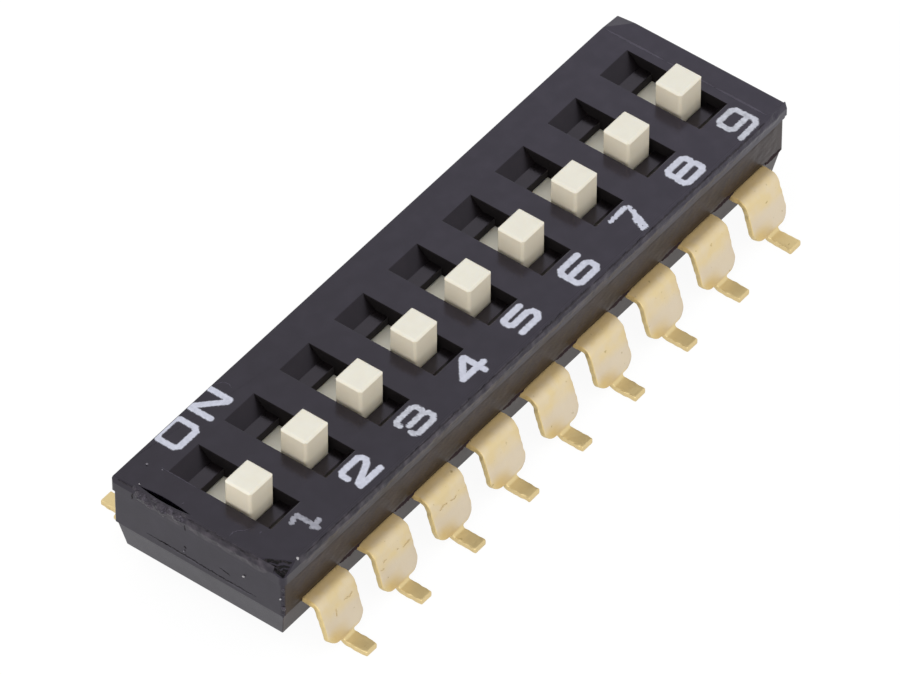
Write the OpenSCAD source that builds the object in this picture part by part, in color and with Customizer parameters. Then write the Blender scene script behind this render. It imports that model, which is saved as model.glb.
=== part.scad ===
// Surface-mount DIP switch: a bank of raised slide actuators in a two-piece moulded housing.
//
// X runs along the bank, from switch 1 to the last one. +Y is the ON side and -Y, the front, is
// the side of the printed numbers. +Z is up. The origin is the middle of the footprint, on the
// plane of the solder feet. Every actuator is drawn OFF, at the -Y end of its window.

/* [Bank] */
// Number of switches side by side
positions = 9; // [2:1:12]
// Distance between neighbouring switches
pitch = 2.54; // [2.4:0.01:3]
// Housing length past the first and last pitch cell, at each end
end_margin = 0.48; // [0.2:0.01:1.5]

/* [Housing] */
// Width of the housing across the terminals
body_w = 6.15; // [5.6:0.05:8]
// Height of the cover from the parting line to its top face
cover_h = 1.9; // [1.8:0.05:2.6]
// Height of the base below the parting line
base_h = 1; // [0.8:0.02:1.5]
// Air gap between the base and the board
standoff = 0.78; // [0.4:0.02:1.2]
// How far the base stands back from the cover at the parting line
base_setback = 0.05; // [0.02:0.01:0.15]
// How far the base draws in towards its bottom face
base_taper = 0.18; // [0.05:0.01:0.3]
// Upright corner radius on the number side
corner_r_front = 0.12; // [0.05:0.01:0.3]
// Upright corner radius on the ON side
corner_r_back = 0.06; // [0.05:0.01:0.5]
// Thickness of the cover's two long walls
side_wall = 0.7; // [0.5:0.05:0.8]
// Thickness of the partition between neighbouring cells
partition_t = 0.6; // [0.4:0.02:0.8]
// Clearance between the partitions and the cover's long walls
partition_gap = 0.03; // [0.01:0.01:0.1]

/* [Cover rim] */
// How far the rim band stands proud of the cover's walls
rim_out = 0.07; // [0.03:0.01:0.15]
// Distance from the top face down to the band's lower edge
rim_h = 0.62; // [0.4:0.02:0.9]
// Height of the slope between the band and the top face
rim_bevel = 0.22; // [0.1:0.01:0.3]
// Width of the land at each end of the top face
land_l = 0.74; // [0.3:0.02:0.9]
// Depth of that land below the slotted field
land_step = 0.02; // [0.01:0.005:0.05]

/* [Slots] */
// Length of the recess floor round each actuator
slot_l = 2.9; // [2.7:0.02:3.2]
// Width of the recess and of the window in its floor
slot_w = 1.33; // [1.2:0.01:1.6]
// Run of the slope from the recess floor up to the top face on the number side
slope_front = 0.32; // [0.1:0.01:0.5]
// Run of that slope on the ON side
slope_back = 0.46; // [0.1:0.01:0.5]
// Depth of the recess below the top face
recess_depth = 0.4; // [0.2:0.02:0.5]
// Thickness of the recess floor
floor_t = 0.34; // [0.3:0.01:0.6]
// Clearance between the knob and the end of its window at each limit
window_gap = 0.05; // [0.02:0.01:0.15]

/* [Actuator] */
// Distance that the actuator slides from OFF to ON
travel = 0.93; // [0.7:0.01:1.1]
// Width of the knob, along the bank
knob_w = 1.08; // [0.8:0.01:1.15]
// Length of the knob, along its travel
knob_l = 0.96; // [0.6:0.01:1]
// Height of the knob above the cover's top face
knob_h = 0.76; // [0.3:0.02:1.5]
// Upright corner radius of the knob
knob_r = 0.1; // [0.03:0.01:0.2]
// Bevel round the knob's top face
knob_bevel = 0.06; // [0.02:0.01:0.1]
// Thickness of the flange under the recess floor
flange_t = 0.55; // [0.35:0.01:0.6]
// Width of the two rails under the flange
rail_w = 0.3; // [0.2:0.01:0.4]
// Clearance between the flange and the partition on each side
side_gap = 0.07; // [0.03:0.01:0.12]
// Clearance between the flange and the recess floor above it
lift_gap = 0.03; // [0.01:0.01:0.06]
// Clearance between the rails and the base
rail_gap = 0.04; // [0.02:0.01:0.08]
// Clearance between the flange and the cover's long wall at each limit
stop_gap = 0.12; // [0.05:0.01:0.2]
// Diameter of the boss that carries the wiper
boss_d = 0.32; // [0.25:0.01:0.4]
// Diameter of the boss's flattened head
boss_head_d = 0.5; // [0.45:0.01:0.6]
// Thickness of that head
boss_head_t = 0.07; // [0.05:0.01:0.1]

/* [Wiper] */
// Thickness of the wiper's spring strip
wiper_t = 0.12; // [0.08:0.01:0.15]
// Width of the wiper, along the bank
wiper_w = 0.9; // [0.7:0.01:1]
// Width of the slit that parts each arm into two fingers
wiper_slit = 0.14; // [0.08:0.01:0.2]
// Distance from the wiper's middle to each contact point
tip_reach = 0.8; // [0.7:0.01:1]
// Inner radius of the curled contact tip
tip_r = 0.1; // [0.06:0.01:0.12]
// Inner radius of the bend at the root of each arm
root_r = 0.08; // [0.05:0.01:0.1]
// Angle at which the curled tip ends, from level, in degrees
curl_end = 10; // [-20:5:30]
// Margin of the seated flat round the boss's head
seat_margin = 0.05; // [0.03:0.01:0.08]
// Clearance round the boss in the wiper's hole
boss_gap = 0.01; // [0.005:0.005:0.03]
// Running gap between the contact tips and the pads
wiper_gap = 0.02; // [0.01:0.005:0.04]

/* [Terminals] */
// Thickness of the terminal strip
lead_t = 0.2; // [0.15:0.01:0.25]
// Width of the terminal's shoulder and leg
lead_w = 1.62; // [1.3:0.02:1.8]
// Width of the contact pad inside the housing
pad_w = 1.1; // [0.9:0.02:1.25]
// Width of the solder foot
foot_w = 0.5; // [0.4:0.01:0.7]
// Length of the flat solder foot
foot_l = 0.74; // [0.5:0.01:1.5]
// Straight stub between the cover's wall and the shoulder bend
stub = 0.12; // [0.05:0.01:0.3]
// Inner radius of the shoulder bend
shoulder_r = 0.3; // [0.2:0.01:0.4]
// Inner radius of the foot bend
foot_r = 0.12; // [0.08:0.01:0.2]
// Lean of the leg away from upright, in degrees
lean = 17; // [5:1:25]
// Radius of the leg's rounded lower corners
lobe_r = 0.42; // [0.2:0.01:0.5]
// How far those corners reach into the foot bend
lobe_drop = 0.02; // [0:0.01:0.08]
// Radius of the neck where the foot leaves those corners
neck_r = 0.1; // [0.05:0.01:0.12]
// How far the wide shoulder reaches into the housing
anchor_l = 0.3; // [0.2:0.01:0.4]
// How far the front pad reaches past the wiper's contact point when ON
pad_lap = 0.15; // [0.1:0.01:0.25]

/* [Terminal reliefs] */
// Clearance beside the terminal in the notch above it
notch_gap = 0.08; // [0.04:0.01:0.2]
// Height of the notch above the parting line
notch_h = 0.1; // [0.06:0.01:0.4]
// Depth of the notch into the cover's wall
notch_depth = 0.2; // [0.1:0.01:0.4]

/* [Underside] */
// Length of the coring pocket under each cell, across the housing
core_l = 2.6; // [1.5:0.1:3]
// Width of that pocket, along the bank
core_w = 1.3; // [0.8:0.05:1.6]
// Depth of that pocket
core_depth = 0.4; // [0.2:0.02:0.5]

/* [Damage] */
// Reach of the broken corner along the bank
chip_x = 0.62; // [0.2:0.02:0.8]
// Reach of the broken corner across the bank
chip_y = 1; // [0.2:0.02:1.2]
// Reach of the broken corner down the upright edge
chip_z = 0.24; // [0.1:0.02:0.5]
// Reach of the worn corner opposite along the bank
worn_x = 0.82; // [0.2:0.02:1.2]
// Reach of the worn corner across the bank
worn_y = 0.74; // [0.2:0.02:1.2]
// Reach of the worn corner down the upright edge
worn_z = 0.14; // [0.04:0.02:0.3]
// Length of the split in the rim at the switch 1 end
split_l = 1.75; // [0.5:0.05:2.5]
// Widest opening of the split
split_w = 0.16; // [0.05:0.01:0.2]
// Depth of the split
split_depth = 0.3; // [0.1:0.02:0.4]
// Distance from the middle plane of the bank to the middle of the split
split_y = 1.3; // [0:0.1:1.6]
// Distance from the edge of the top face to the middle of the split
split_inset = 0.13; // [0.1:0.01:0.3]

/* [Hidden] */

plastic = "#3b3a3f";
ivory = "#e6e1d3";
gold = "#d9c58f";
bronze = "#c9a765";

round_fn = 64; // true circles
bend_steps = 10; // flats along each bend of a strip
over = 0.5;    // how far a cutting solid runs past the face that it opens
far = 2 * body_w; // longer than any section that it crosses

body_l = positions * pitch + 2 * end_margin;
parting_z = standoff + base_h;
top_z = parting_z + cover_h;
recess_z = top_z - recess_depth;
ceiling_z = recess_z - floor_t;
cell_w = pitch - partition_t;
cavity_l = (positions - 1) * pitch + cell_w;
cavity_w = body_w - 2 * side_wall;
window_l = knob_l + travel + 2 * window_gap;

off_y = -travel / 2;
flange_w = cell_w - 2 * side_gap;
flange_l = cavity_w - travel - 2 * stop_gap;
flange_z = ceiling_z - lift_gap;
crown_z = flange_z - flange_t;
knob_top = top_z + knob_h;

seat_z = crown_z - wiper_t;
seat_l = boss_head_d / 2 + seat_margin;
tip_outer = tip_r + wiper_t;
tip_z = parting_z + wiper_gap + tip_outer;

lead_z = parting_z - lead_t;
shoulder_in = body_w / 2 - anchor_l;
front_pad_in = tip_reach - travel / 2 - pad_lap;
back_pad_in = tip_reach;
bend_u = body_w / 2 + stub;
bend_z = lead_z - shoulder_r;
foot_z = foot_r + lead_t;
bends_apart = shoulder_r + lead_t + foot_r;
leg_l = (bend_z + bends_apart * sin(lean) - foot_z) / cos(lean);
foot_u = bend_u + bends_apart * cos(lean) + leg_l * sin(lean);

// Centre of switch i along X
function cell_x(i) = (i - (positions + 1) / 2) * pitch;

// Points of an arc of radius r about c, from angle a0 to a1
function arc(c, r, a0, a1) = [
    for (k = [0:bend_steps]) let (a = a0 + (a1 - a0) * k / bend_steps) c + r * [cos(a), sin(a)]
];

// The same points in reverse order, mirrored in the line y = 0 of the side view
function mirrored_back(points) = [
    for (k = [len(points) - 1:-1:0]) [-points[k].x, points[k].y]
];

// The children at the place of switch i
module at_switch(i) {
    translate([cell_x(i), 0, 0]) children();
}

// The children as drawn, and again mirrored to the other end of the bank
module both_ends() {
    children();
    mirror([1, 0, 0]) children();
}

// The children as drawn, and again mirrored to the other side of the bank
module both_sides() {
    children();
    mirror([0, 1, 0]) children();
}

// A 2-D outline in Y and Z, swept along X over a width centred on X = 0
module swept_x(width) {
    translate([-width / 2, 0, 0]) rotate([90, 0, 90]) linear_extrude(width) children();
}

// A 2-D outline in X and Z, swept along Y over a width centred on Y = 0
module swept_y(width) {
    translate([0, width / 2, 0]) rotate([90, 0, 0]) linear_extrude(width) children();
}

// What a corner loses to a radius r: its arc is centred on the origin and bulges to +X and +Y
module spandrel(r) {
    difference() {
        square(r + over);
        circle(r = r, $fn = round_fn);
    }
}

// Rectangle l by w with its -Y corners rounded by r_front and its +Y corners by r_back
module plan(l, w, r_front, r_back) {
    difference() {
        square([l, w], center = true);
        both_ends() {
            translate([l / 2 - r_back, w / 2 - r_back]) spandrel(r_back);
            mirror([0, 1, 0]) translate([l / 2 - r_front, w / 2 - r_front]) spandrel(r_front);
        }
    }
}

// ---- cover ----

// Outline of the rim across one direction: it swells from the wall and slopes back to the top face
module rim_profile(half_w) {
    band = half_w + rim_out;
    low = top_z - rim_h;
    polygon([
        [-half_w, low], [half_w, low], [band, low + rim_out], [band, top_z - rim_bevel],
        [half_w, top_z], [-half_w, top_z], [-band, top_z - rim_bevel], [-band, low + rim_out]
    ]);
}

module cover_block() {
    translate([0, 0, parting_z]) linear_extrude(cover_h - rim_h)
        plan(body_l, body_w, corner_r_front, corner_r_back);
    intersection() {
        swept_x(2 * body_l) rim_profile(body_w / 2);
        swept_y(2 * body_w) rim_profile(body_l / 2);
        translate([0, 0, parting_z]) linear_extrude(cover_h + over)
            plan(body_l + 2 * rim_out, body_w + 2 * rim_out,
                corner_r_front + rim_out, corner_r_back + rim_out);
    }
}

// Side view of the recess: a level floor between two slopes, carried on past the top face
module recess_profile() {
    half = slot_l / 2;
    rise = recess_depth + over;
    polygon([
        [-half, recess_z], [half, recess_z],
        [half + slope_back * rise / recess_depth, top_z + over],
        [-half - slope_front * rise / recess_depth, top_z + over]
    ]);
}

// Recess in the top face, and in its floor the shorter window that the knob slides in
module slot() {
    swept_x(slot_w) recess_profile();
    translate([-slot_w / 2, -window_l / 2, ceiling_z - over])
        cube([slot_w, window_l, floor_t + 2 * over]);
}

// Relief in the foot of the +Y wall, above the terminal that passes under it
module relief_notch() {
    width = lead_w + 2 * notch_gap;
    translate([-width / 2, body_w / 2 - notch_depth, parting_z - over])
        cube([width, notch_depth + over, notch_h + over]);
}

// Land at the +X end of the top face
module end_land() {
    translate([body_l / 2 - land_l, -body_w, top_z - land_step])
        cube([land_l + over, 2 * body_w, over]);
}

// Everything outside the plane that meets the three edges of the -X, -Y corner at their reaches
module lost_corner(reach_x, reach_y, reach_z) {
    n = [1 / reach_x, 1 / reach_y, 1 / reach_z];
    tilt = atan2(norm([n.x, n.y]), n.z);
    turn = atan2(-n.y, -n.x);
    translate([-body_l / 2, -body_w / 2, top_z - reach_z])
        rotate([0, tilt, turn]) translate([-body_w / 2, -body_w / 2, 0]) cube(body_w);
}

// Split in the rim: two shallow arcs that meet in a point at each end
module rim_split() {
    bulge = split_w / 2;
    r = (split_l * split_l / 4 + bulge * bulge) / (2 * bulge);
    translate([-body_l / 2 + split_inset, split_y, top_z - split_depth])
        linear_extrude(split_depth + over) intersection() {
            translate([r - bulge, 0]) circle(r = r, $fn = 4 * round_fn);
            translate([bulge - r, 0]) circle(r = r, $fn = 4 * round_fn);
        }
}

module cover() {
    color(plastic) difference() {
        cover_block();
        translate([-cavity_l / 2, -cavity_w / 2, parting_z - over])
            cube([cavity_l, cavity_w, ceiling_z - parting_z + over]);
        for (i = [1:positions]) at_switch(i) {
            slot();
            both_sides() relief_notch();
        }
        both_ends() end_land();
        lost_corner(chip_x, chip_y, chip_z);
        rotate(180) lost_corner(worn_x, worn_y, worn_z);
        rim_split();
    }
}

// ---- base ----

// Outline of the base across one direction, drawn in towards the bottom like any moulding
module base_profile(half_w) {
    upper = half_w - base_setback;
    lower = upper - base_taper;
    polygon([[-lower, standoff], [lower, standoff], [upper, parting_z], [-upper, parting_z]]);
}

module base_block() {
    intersection() {
        swept_x(2 * body_l) base_profile(body_w / 2);
        swept_y(2 * body_w) base_profile(body_l / 2);
        translate([0, 0, standoff]) linear_extrude(base_h)
            plan(body_l - 2 * base_setback, body_w - 2 * base_setback,
                corner_r_front, corner_r_back);
    }
}

// Partition on the +X side of switch i, up to the underside of the recess floors
module partition(i) {
    length = cavity_w - 2 * partition_gap;
    translate([cell_x(i) + cell_w / 2, -length / 2, lead_z])
        cube([partition_t, length, ceiling_z - lead_z]);
}

// Bed that the +Y terminal fills in the base: its pad, and its wide shoulder out through the wall
module terminal_bed(pad_in) {
    translate([-pad_w / 2, pad_in, lead_z]) cube([pad_w, shoulder_in - pad_in, lead_t + over]);
    translate([-lead_w / 2, shoulder_in, lead_z]) cube([lead_w, anchor_l + over, lead_t + over]);
}

// Coring pocket that keeps the moulding's wall even under one cell
module core_pocket() {
    translate([-core_w / 2, -core_l / 2, standoff - over])
        cube([core_w, core_l, core_depth + over]);
}

module base() {
    color(plastic) difference() {
        union() {
            base_block();
            for (i = [1:positions - 1]) partition(i);
        }
        for (i = [1:positions]) at_switch(i) {
            terminal_bed(back_pad_in);
            mirror([0, 1, 0]) terminal_bed(front_pad_in);
            core_pocket();
        }
    }
}

// ---- slider ----

// Outline of the knob across one direction, with the bevel round its top face
module knob_profile(half_w) {
    inner = half_w - knob_bevel;
    shoulder = knob_top - knob_bevel;
    polygon([
        [-half_w, crown_z], [half_w, crown_z], [half_w, shoulder],
        [inner, knob_top], [-inner, knob_top], [-half_w, shoulder]
    ]);
}

module knob() {
    intersection() {
        swept_x(2 * knob_w) knob_profile(knob_l / 2);
        swept_y(2 * knob_l) knob_profile(knob_w / 2);
        translate([0, 0, crown_z]) linear_extrude(knob_top - crown_z)
            plan(knob_w, knob_l, knob_r, knob_r);
    }
}

// Boss through the wiper, with the head that was flattened to hold it
module wiper_boss() {
    translate([0, 0, seat_z - boss_head_t]) {
        cylinder(d = boss_d, h = crown_z + over / 2 - seat_z + boss_head_t, $fn = round_fn);
        cylinder(d = boss_head_d, h = boss_head_t, $fn = round_fn);
    }
}

module slider() {
    rail_z = parting_z + rail_gap;
    color(ivory) translate([0, off_y, 0]) {
        knob();
        translate([-flange_w / 2, -flange_l / 2, crown_z]) cube([flange_w, flange_l, flange_t]);
        both_ends() translate([flange_w / 2 - rail_w, -flange_l / 2, rail_z])
            cube([rail_w, flange_l, crown_z - rail_z]);
        wiper_boss();
    }
}

// ---- wiper ----

// Side view of the wiper's +Y half: the seat, the bend, the sloping arm and the curled tip
function wiper_half() =
    let (
        root = [seat_l, seat_z - root_r],
        curl = [tip_reach, tip_z],
        apart = curl - root,
        slope = atan2(apart.y, apart.x) - asin((root_r + tip_r + wiper_t) / norm(apart))
    )
    concat(
        arc(root, root_r + wiper_t, 90, 90 + slope),
        arc(curl, tip_r, slope - 90, curl_end),
        arc(curl, tip_outer, curl_end, slope - 90),
        arc(root, root_r, 90 + slope, 90)
    );

module wiper() {
    slit_start = seat_l + root_r + wiper_t;
    color(bronze) translate([0, off_y, 0]) difference() {
        swept_x(wiper_w) polygon(concat(wiper_half(), mirrored_back(wiper_half())));
        translate([0, 0, seat_z - over])
            cylinder(d = boss_d + 2 * boss_gap, h = wiper_t + 2 * over, $fn = round_fn);
        both_sides() translate([-wiper_slit / 2, slit_start, parting_z])
            cube([wiper_slit, tip_reach, crown_z - parting_z]);
    }
}

// ---- terminals ----

// Side view of the strip: pad, shoulder bend, leaning leg, foot bend and solder foot
module terminal_profile(pad_in) {
    shoulder = [bend_u, bend_z];
    heel = [foot_u, foot_z];
    toe = foot_u + foot_l;
    polygon(concat(
        [[pad_in, parting_z]],
        arc(shoulder, shoulder_r + lead_t, 90, lean),
        arc(heel, foot_r, 180 + lean, 270),
        [[toe, lead_t], [toe, 0]],
        arc(heel, foot_z, 270, 180 + lean),
        arc(shoulder, shoulder_r, lean, 90),
        [[pad_in, lead_z]]
    ));
}

// Outline of the strip seen square to the leg: wide down to two rounded lobes, then the foot
module terminal_blank() {
    low = leg_l + lobe_drop;
    difference() {
        translate([-lead_w / 2, -low]) square([lead_w, low + far]);
        both_ends() mirror([0, 1, 0]) translate([lead_w / 2 - lobe_r, low - lobe_r])
            spandrel(lobe_r);
    }
    difference() {
        translate([-foot_w / 2 - neck_r, -far]) square([foot_w + 2 * neck_r, 2 * far]);
        both_ends() translate([foot_w / 2, -far]) square([neck_r + over, far - low - neck_r]);
        both_ends() translate([foot_w / 2 + neck_r, -low - neck_r]) circle(r = neck_r, $fn = round_fn);
    }
}

// Terminal that leaves the housing towards +Y, with a pad that starts pad_in from the middle
module terminal(pad_in) {
    color(gold) difference() {
        intersection() {
            swept_x(lead_w) terminal_profile(pad_in);
            translate([0, bend_u, bend_z]) rotate([90 + lean, 0, 0])
                translate([0, 0, -far]) linear_extrude(2 * far) terminal_blank();
        }
        both_ends() translate([pad_w / 2, pad_in - over, lead_z - over])
            cube([lead_w, shoulder_in - pad_in + over, lead_t + 2 * over]);
    }
}

module front_terminal() {
    mirror([0, 1, 0]) terminal(front_pad_in);
}

module back_terminal() {
    terminal(back_pad_in);
}

cover();
base();
for (i = [1:positions]) {
    at_switch(i) slider();
    at_switch(i) wiper();
    at_switch(i) front_terminal();
    at_switch(i) back_terminal();
}
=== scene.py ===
"""A surface-mount DIP switch bank, dressed round its packed construction frame.

Every size below is in millimetres and turned to metres where a mesh is written. X runs along the
bank from switch 1 to switch 9, +Y is the ON side, -Y the side of the numbers, and Z = 0 is the
plane of the solder feet.
"""

import logging
import math
from collections.abc import Callable, Sequence
from dataclasses import dataclass, field
from enum import Enum

import bmesh
import bpy
import numpy as np
from mathutils import Matrix, Vector


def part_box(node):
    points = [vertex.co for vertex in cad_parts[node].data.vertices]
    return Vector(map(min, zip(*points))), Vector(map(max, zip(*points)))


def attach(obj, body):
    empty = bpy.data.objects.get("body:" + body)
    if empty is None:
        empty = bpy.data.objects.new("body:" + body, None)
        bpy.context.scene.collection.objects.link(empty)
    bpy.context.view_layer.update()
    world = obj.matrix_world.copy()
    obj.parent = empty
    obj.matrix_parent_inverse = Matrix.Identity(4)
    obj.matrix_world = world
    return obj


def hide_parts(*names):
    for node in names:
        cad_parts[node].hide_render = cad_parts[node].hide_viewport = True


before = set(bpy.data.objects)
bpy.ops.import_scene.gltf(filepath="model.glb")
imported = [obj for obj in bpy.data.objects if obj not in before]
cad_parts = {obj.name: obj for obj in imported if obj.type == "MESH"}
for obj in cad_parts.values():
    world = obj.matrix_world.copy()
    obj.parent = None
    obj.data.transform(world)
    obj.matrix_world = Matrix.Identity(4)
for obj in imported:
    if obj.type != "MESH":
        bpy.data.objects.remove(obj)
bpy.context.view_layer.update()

LOG = logging.getLogger("dip_switch")
MM = 0.001
SWITCHES = tuple(range(1, 10))
PITCH = 2.54
BODY_L = 23.82
BODY_W = 6.15
# Height of the slotted field, of the end lands, and where the switch 1 land starts.
TOP = 3.68
LAND_Z = 3.66
LAND_X = -11.1
# Faces that meet at less than this angle, in degrees, shade as one smooth surface.
SMOOTH_UP_TO = 40.0

Array = np.ndarray
Colour = tuple[float, float, float, float]
Place = tuple[float, float, float]
Stroke = tuple[tuple[float, float], ...]
Tree = bpy.types.NodeTree
Output = bpy.types.NodeSocket
# Layers of ripples: height, period, and how far each is squeezed along the two places
Layers = tuple[tuple[float, float, float, float], ...]
# What feeds a socket: a number, a vector, a hex colour, an output, or a node's first live output.
Feed = float | tuple | str | Output | bpy.types.Node
Sockets = dict[str, Feed] | tuple[Feed, ...]


class Body(Enum):
    """The rigid bodies of the frame that pieces ride on."""

    HOUSING = "housing"
    SWITCH = "switch_"


class Slot(Enum):
    """The record's material slots."""

    PLASTIC = "moulded_plastic"
    SLIDER = "slider_plastic"
    GOLD = "gold_plate"
    INK = "marking_ink"


class Row(Enum):
    """The two rows of terminals, with the side of the bank that each leaves."""

    FRONT = -1
    BACK = 1


# ---- colours and node trees ----


def linear(hex_colour: str) -> Colour:
    """Turns an sRGB hex colour into the linear colour that a shader socket takes.

    Args:
        hex_colour: A colour such as "#3a3b40".

    Returns:
        Red, green, blue and an alpha of 1, all linear.
    """
    values = np.array([int(hex_colour[i : i + 2], 16) for i in (1, 3, 5)]) / 255
    bent = np.where(values <= 0.04045, values / 12.92, ((values + 0.055) / 1.055) ** 2.4)
    return (*map(float, bent), 1.0)


def per_mm(lump: float) -> float:
    """The noise scale, on coordinates in metres, that makes lumps so many millimetres wide."""
    return 1 / (lump * MM)


def add_node(
    tree: Tree, kind: str, sockets: Sockets = (), **settings: str | float
) -> bpy.types.Node:
    """Adds one shader node to a tree, with its settings, socket values and links.

    Args:
        tree: The node tree that takes the node.
        kind: The node's type without its prefix, such as "TexNoise".
        sockets: What feeds each named input, or what feeds the first live inputs in order.
        settings: Properties of the node itself.

    Returns:
        The new node.
    """
    made = tree.nodes.new("ShaderNode" + kind)
    for name, value in settings.items():
        setattr(made, name, value)
    if isinstance(sockets, dict):
        feeds = [(made.inputs[name], feed) for name, feed in sockets.items()]
    else:
        feeds = list(zip([socket for socket in made.inputs if socket.enabled], sockets))
    for socket, feed in feeds:
        if isinstance(feed, bpy.types.Node):
            feed = next(output for output in feed.outputs if output.enabled)
        if isinstance(feed, Output):
            tree.links.new(feed, socket)
        else:
            socket.default_value = linear(feed) if isinstance(feed, str) else feed
    return made


def empty_tree(owner: bpy.types.Material | bpy.types.World) -> Tree:
    """Turns on the node tree of a material or a world, and empties it.

    Args:
        owner: What the tree belongs to.

    Returns:
        The empty tree.
    """
    owner.use_nodes = True
    owner.node_tree.nodes.clear()
    return owner.node_tree


# ---- finishes ----


@dataclass(frozen=True)
class Finish:
    """A finish, whose material is one Principled BSDF."""

    name: str

    def sockets(self, tree: Tree, where: Output) -> dict[str, Feed]:
        """Says what feeds the shader, from the tree that it is in and coordinates in metres."""
        raise NotImplementedError

    @property
    def material(self) -> bpy.types.Material:
        """The finish's material, made when a piece first wears it.

        Returns:
            The one material of this name.
        """
        made = bpy.data.materials.get(self.name)
        if made is None:
            made = bpy.data.materials.new(self.name)
            tree = empty_tree(made)
            where = add_node(tree, "TexCoord").outputs["Object"]
            shader = add_node(tree, "BsdfPrincipled", self.sockets(tree, where))
            add_node(tree, "OutputMaterial", (shader,))
        return made


@dataclass(frozen=True)
class GlassFilledPbt(Finish):
    """Carbon-black glass-filled PBT, injection moulded.

    Its body is nearly black, so the eye sees the gloss: broad soft reflections on the faces that
    the mould polished, and duller walls where it was spark-eroded. Rubbing lightens it in clouds,
    and it greys towards switch 9. The real grain is too fine to show, so it is drawn as coarse as
    it has to be.
    """

    name: str = "glass_filled_pbt"
    body: str = "#07050b"
    rubbed: str = "#121017"
    film: str = "#1a1822"
    filmed: str = "#25222c"
    sheen: str = "#f2e9ff"
    roughness: float = 0.18
    # Roughness of the walls past these distances from the middle, where theirs differs
    wall_roughness: float | None = None
    wall_at: tuple[float, float] = (11.84, 3.0)
    wall_blend: float = 0.02
    ior: float = 1.52
    specular: float = 0.5
    # Where along the bank the greying towards switch 9 starts and is full
    film_from: float = -6.0
    film_to: float = 12.0
    # Width and depth of the grain and of the sink marks, width of the rubbed clouds, and the
    # share of the noise at which those start and are full
    grain_mm: float = 0.045
    grain_depth_mm: float = 0.003
    swell_mm: float = 0.9
    swell_depth_mm: float = 0.012
    mottle_mm: float = 0.6
    rubbed_at: tuple[float, float] = (0.42, 0.72)

    def sockets(self, tree: Tree, where: Output) -> dict[str, Feed]:
        """Rubbed clouds and greying towards switch 9 in the colour; sink marks and grain in the
        relief.

        Args:
            tree: The material's node tree.
            where: Coordinates in metres.

        Returns:
            What feeds each socket of the shader.
        """
        mottle = add_node(tree, "TexNoise", (where, per_mm(self.mottle_mm), 5.0))
        patch = add_node(tree, "MapRange", (mottle, *self.rubbed_at))
        along = add_node(tree, "SeparateXYZ", (where,)).outputs["X"]
        film = add_node(tree, "MapRange", (along, self.film_from * MM, self.film_to * MM))
        rubbed = add_node(tree, "Mix", (film, self.rubbed, self.filmed), data_type="RGBA")
        clean = add_node(tree, "Mix", (film, self.body, self.film), data_type="RGBA")
        swell = add_node(tree, "TexNoise", (where, per_mm(self.swell_mm), 1.0))
        sinks = {"Strength": 1.0, "Distance": self.swell_depth_mm * MM, "Height": swell}
        grain = add_node(tree, "TexNoise", (where, per_mm(self.grain_mm), 3.0))
        relief = {"Strength": 0.6, "Distance": self.grain_depth_mm * MM, "Height": grain}
        relief["Normal"] = add_node(tree, "Bump", sinks)
        return {
            "Base Color": add_node(tree, "Mix", (patch, clean, rubbed), data_type="RGBA"),
            "Roughness": self.roughness_of_walls(tree, where),
            "Normal": add_node(tree, "Bump", relief),
            "IOR": self.ior,
            "Specular IOR Level": self.specular,
            "Specular Tint": self.sheen,
        }

    def roughness_of_walls(self, tree: Tree, where: Output) -> Feed:
        """Blends from one roughness to the other where |x| or |y| passes the walls' place.

        Args:
            tree: The material's node tree.
            where: Coordinates in metres.

        Returns:
            The blend, or the plain roughness where the walls are no different.
        """
        if self.wall_roughness is None:
            return self.roughness
        away = add_node(tree, "VectorMath", (where,), operation="ABSOLUTE")
        place = (self.wall_at[0] * MM, self.wall_at[1] * MM, 0.0)
        past = add_node(tree, "VectorMath", (away, place), operation="SUBTRACT")
        by_axis = add_node(tree, "SeparateXYZ", (past,)).outputs
        wall = add_node(tree, "Math", (by_axis["X"], by_axis["Y"]), operation="MAXIMUM")
        ends = (-self.wall_blend * MM, 0.0, self.roughness, self.wall_roughness)
        return add_node(tree, "MapRange", (wall, *ends))


@dataclass(frozen=True)
class TornPbt(Finish):
    """The same PBT where it was torn: black, with frayed fibres that catch pale light.

    The real fibres are too fine to show, so they are drawn as coarse as they have to be.
    """

    name: str = "torn_pbt"
    body: str = "#060506"
    frayed: str = "#3a3136"
    roughness: float = 0.5
    # A weak gloss: painted shade inside the rough break, which is also matte
    specular: float = 0.16
    fibre_mm: float = 0.05
    fibre_depth_mm: float = 0.02
    drawn: Place = (1.0, 0.3, 1.4)
    frayed_at: tuple[float, float] = (0.5, 0.75)

    def sockets(self, tree: Tree, where: Output) -> dict[str, Feed]:
        """Drawn-out fibres in the colour and in a coarse relief.

        Args:
            tree: The material's node tree.
            where: Coordinates in metres.

        Returns:
            What feeds each socket of the shader.
        """
        drawn = add_node(tree, "Mapping", {"Vector": where, "Scale": self.drawn})
        fibre = add_node(tree, "TexNoise", (drawn, per_mm(self.fibre_mm), 4.0))
        fray = add_node(tree, "MapRange", (fibre, *self.frayed_at))
        relief = {"Strength": 1.0, "Distance": self.fibre_depth_mm * MM, "Height": fibre}
        return {
            "Base Color": add_node(tree, "Mix", (fray, self.body, self.frayed), data_type="RGBA"),
            "Normal": add_node(tree, "Bump", relief),
            "Roughness": self.roughness,
            "Specular IOR Level": self.specular,
        }


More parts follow.
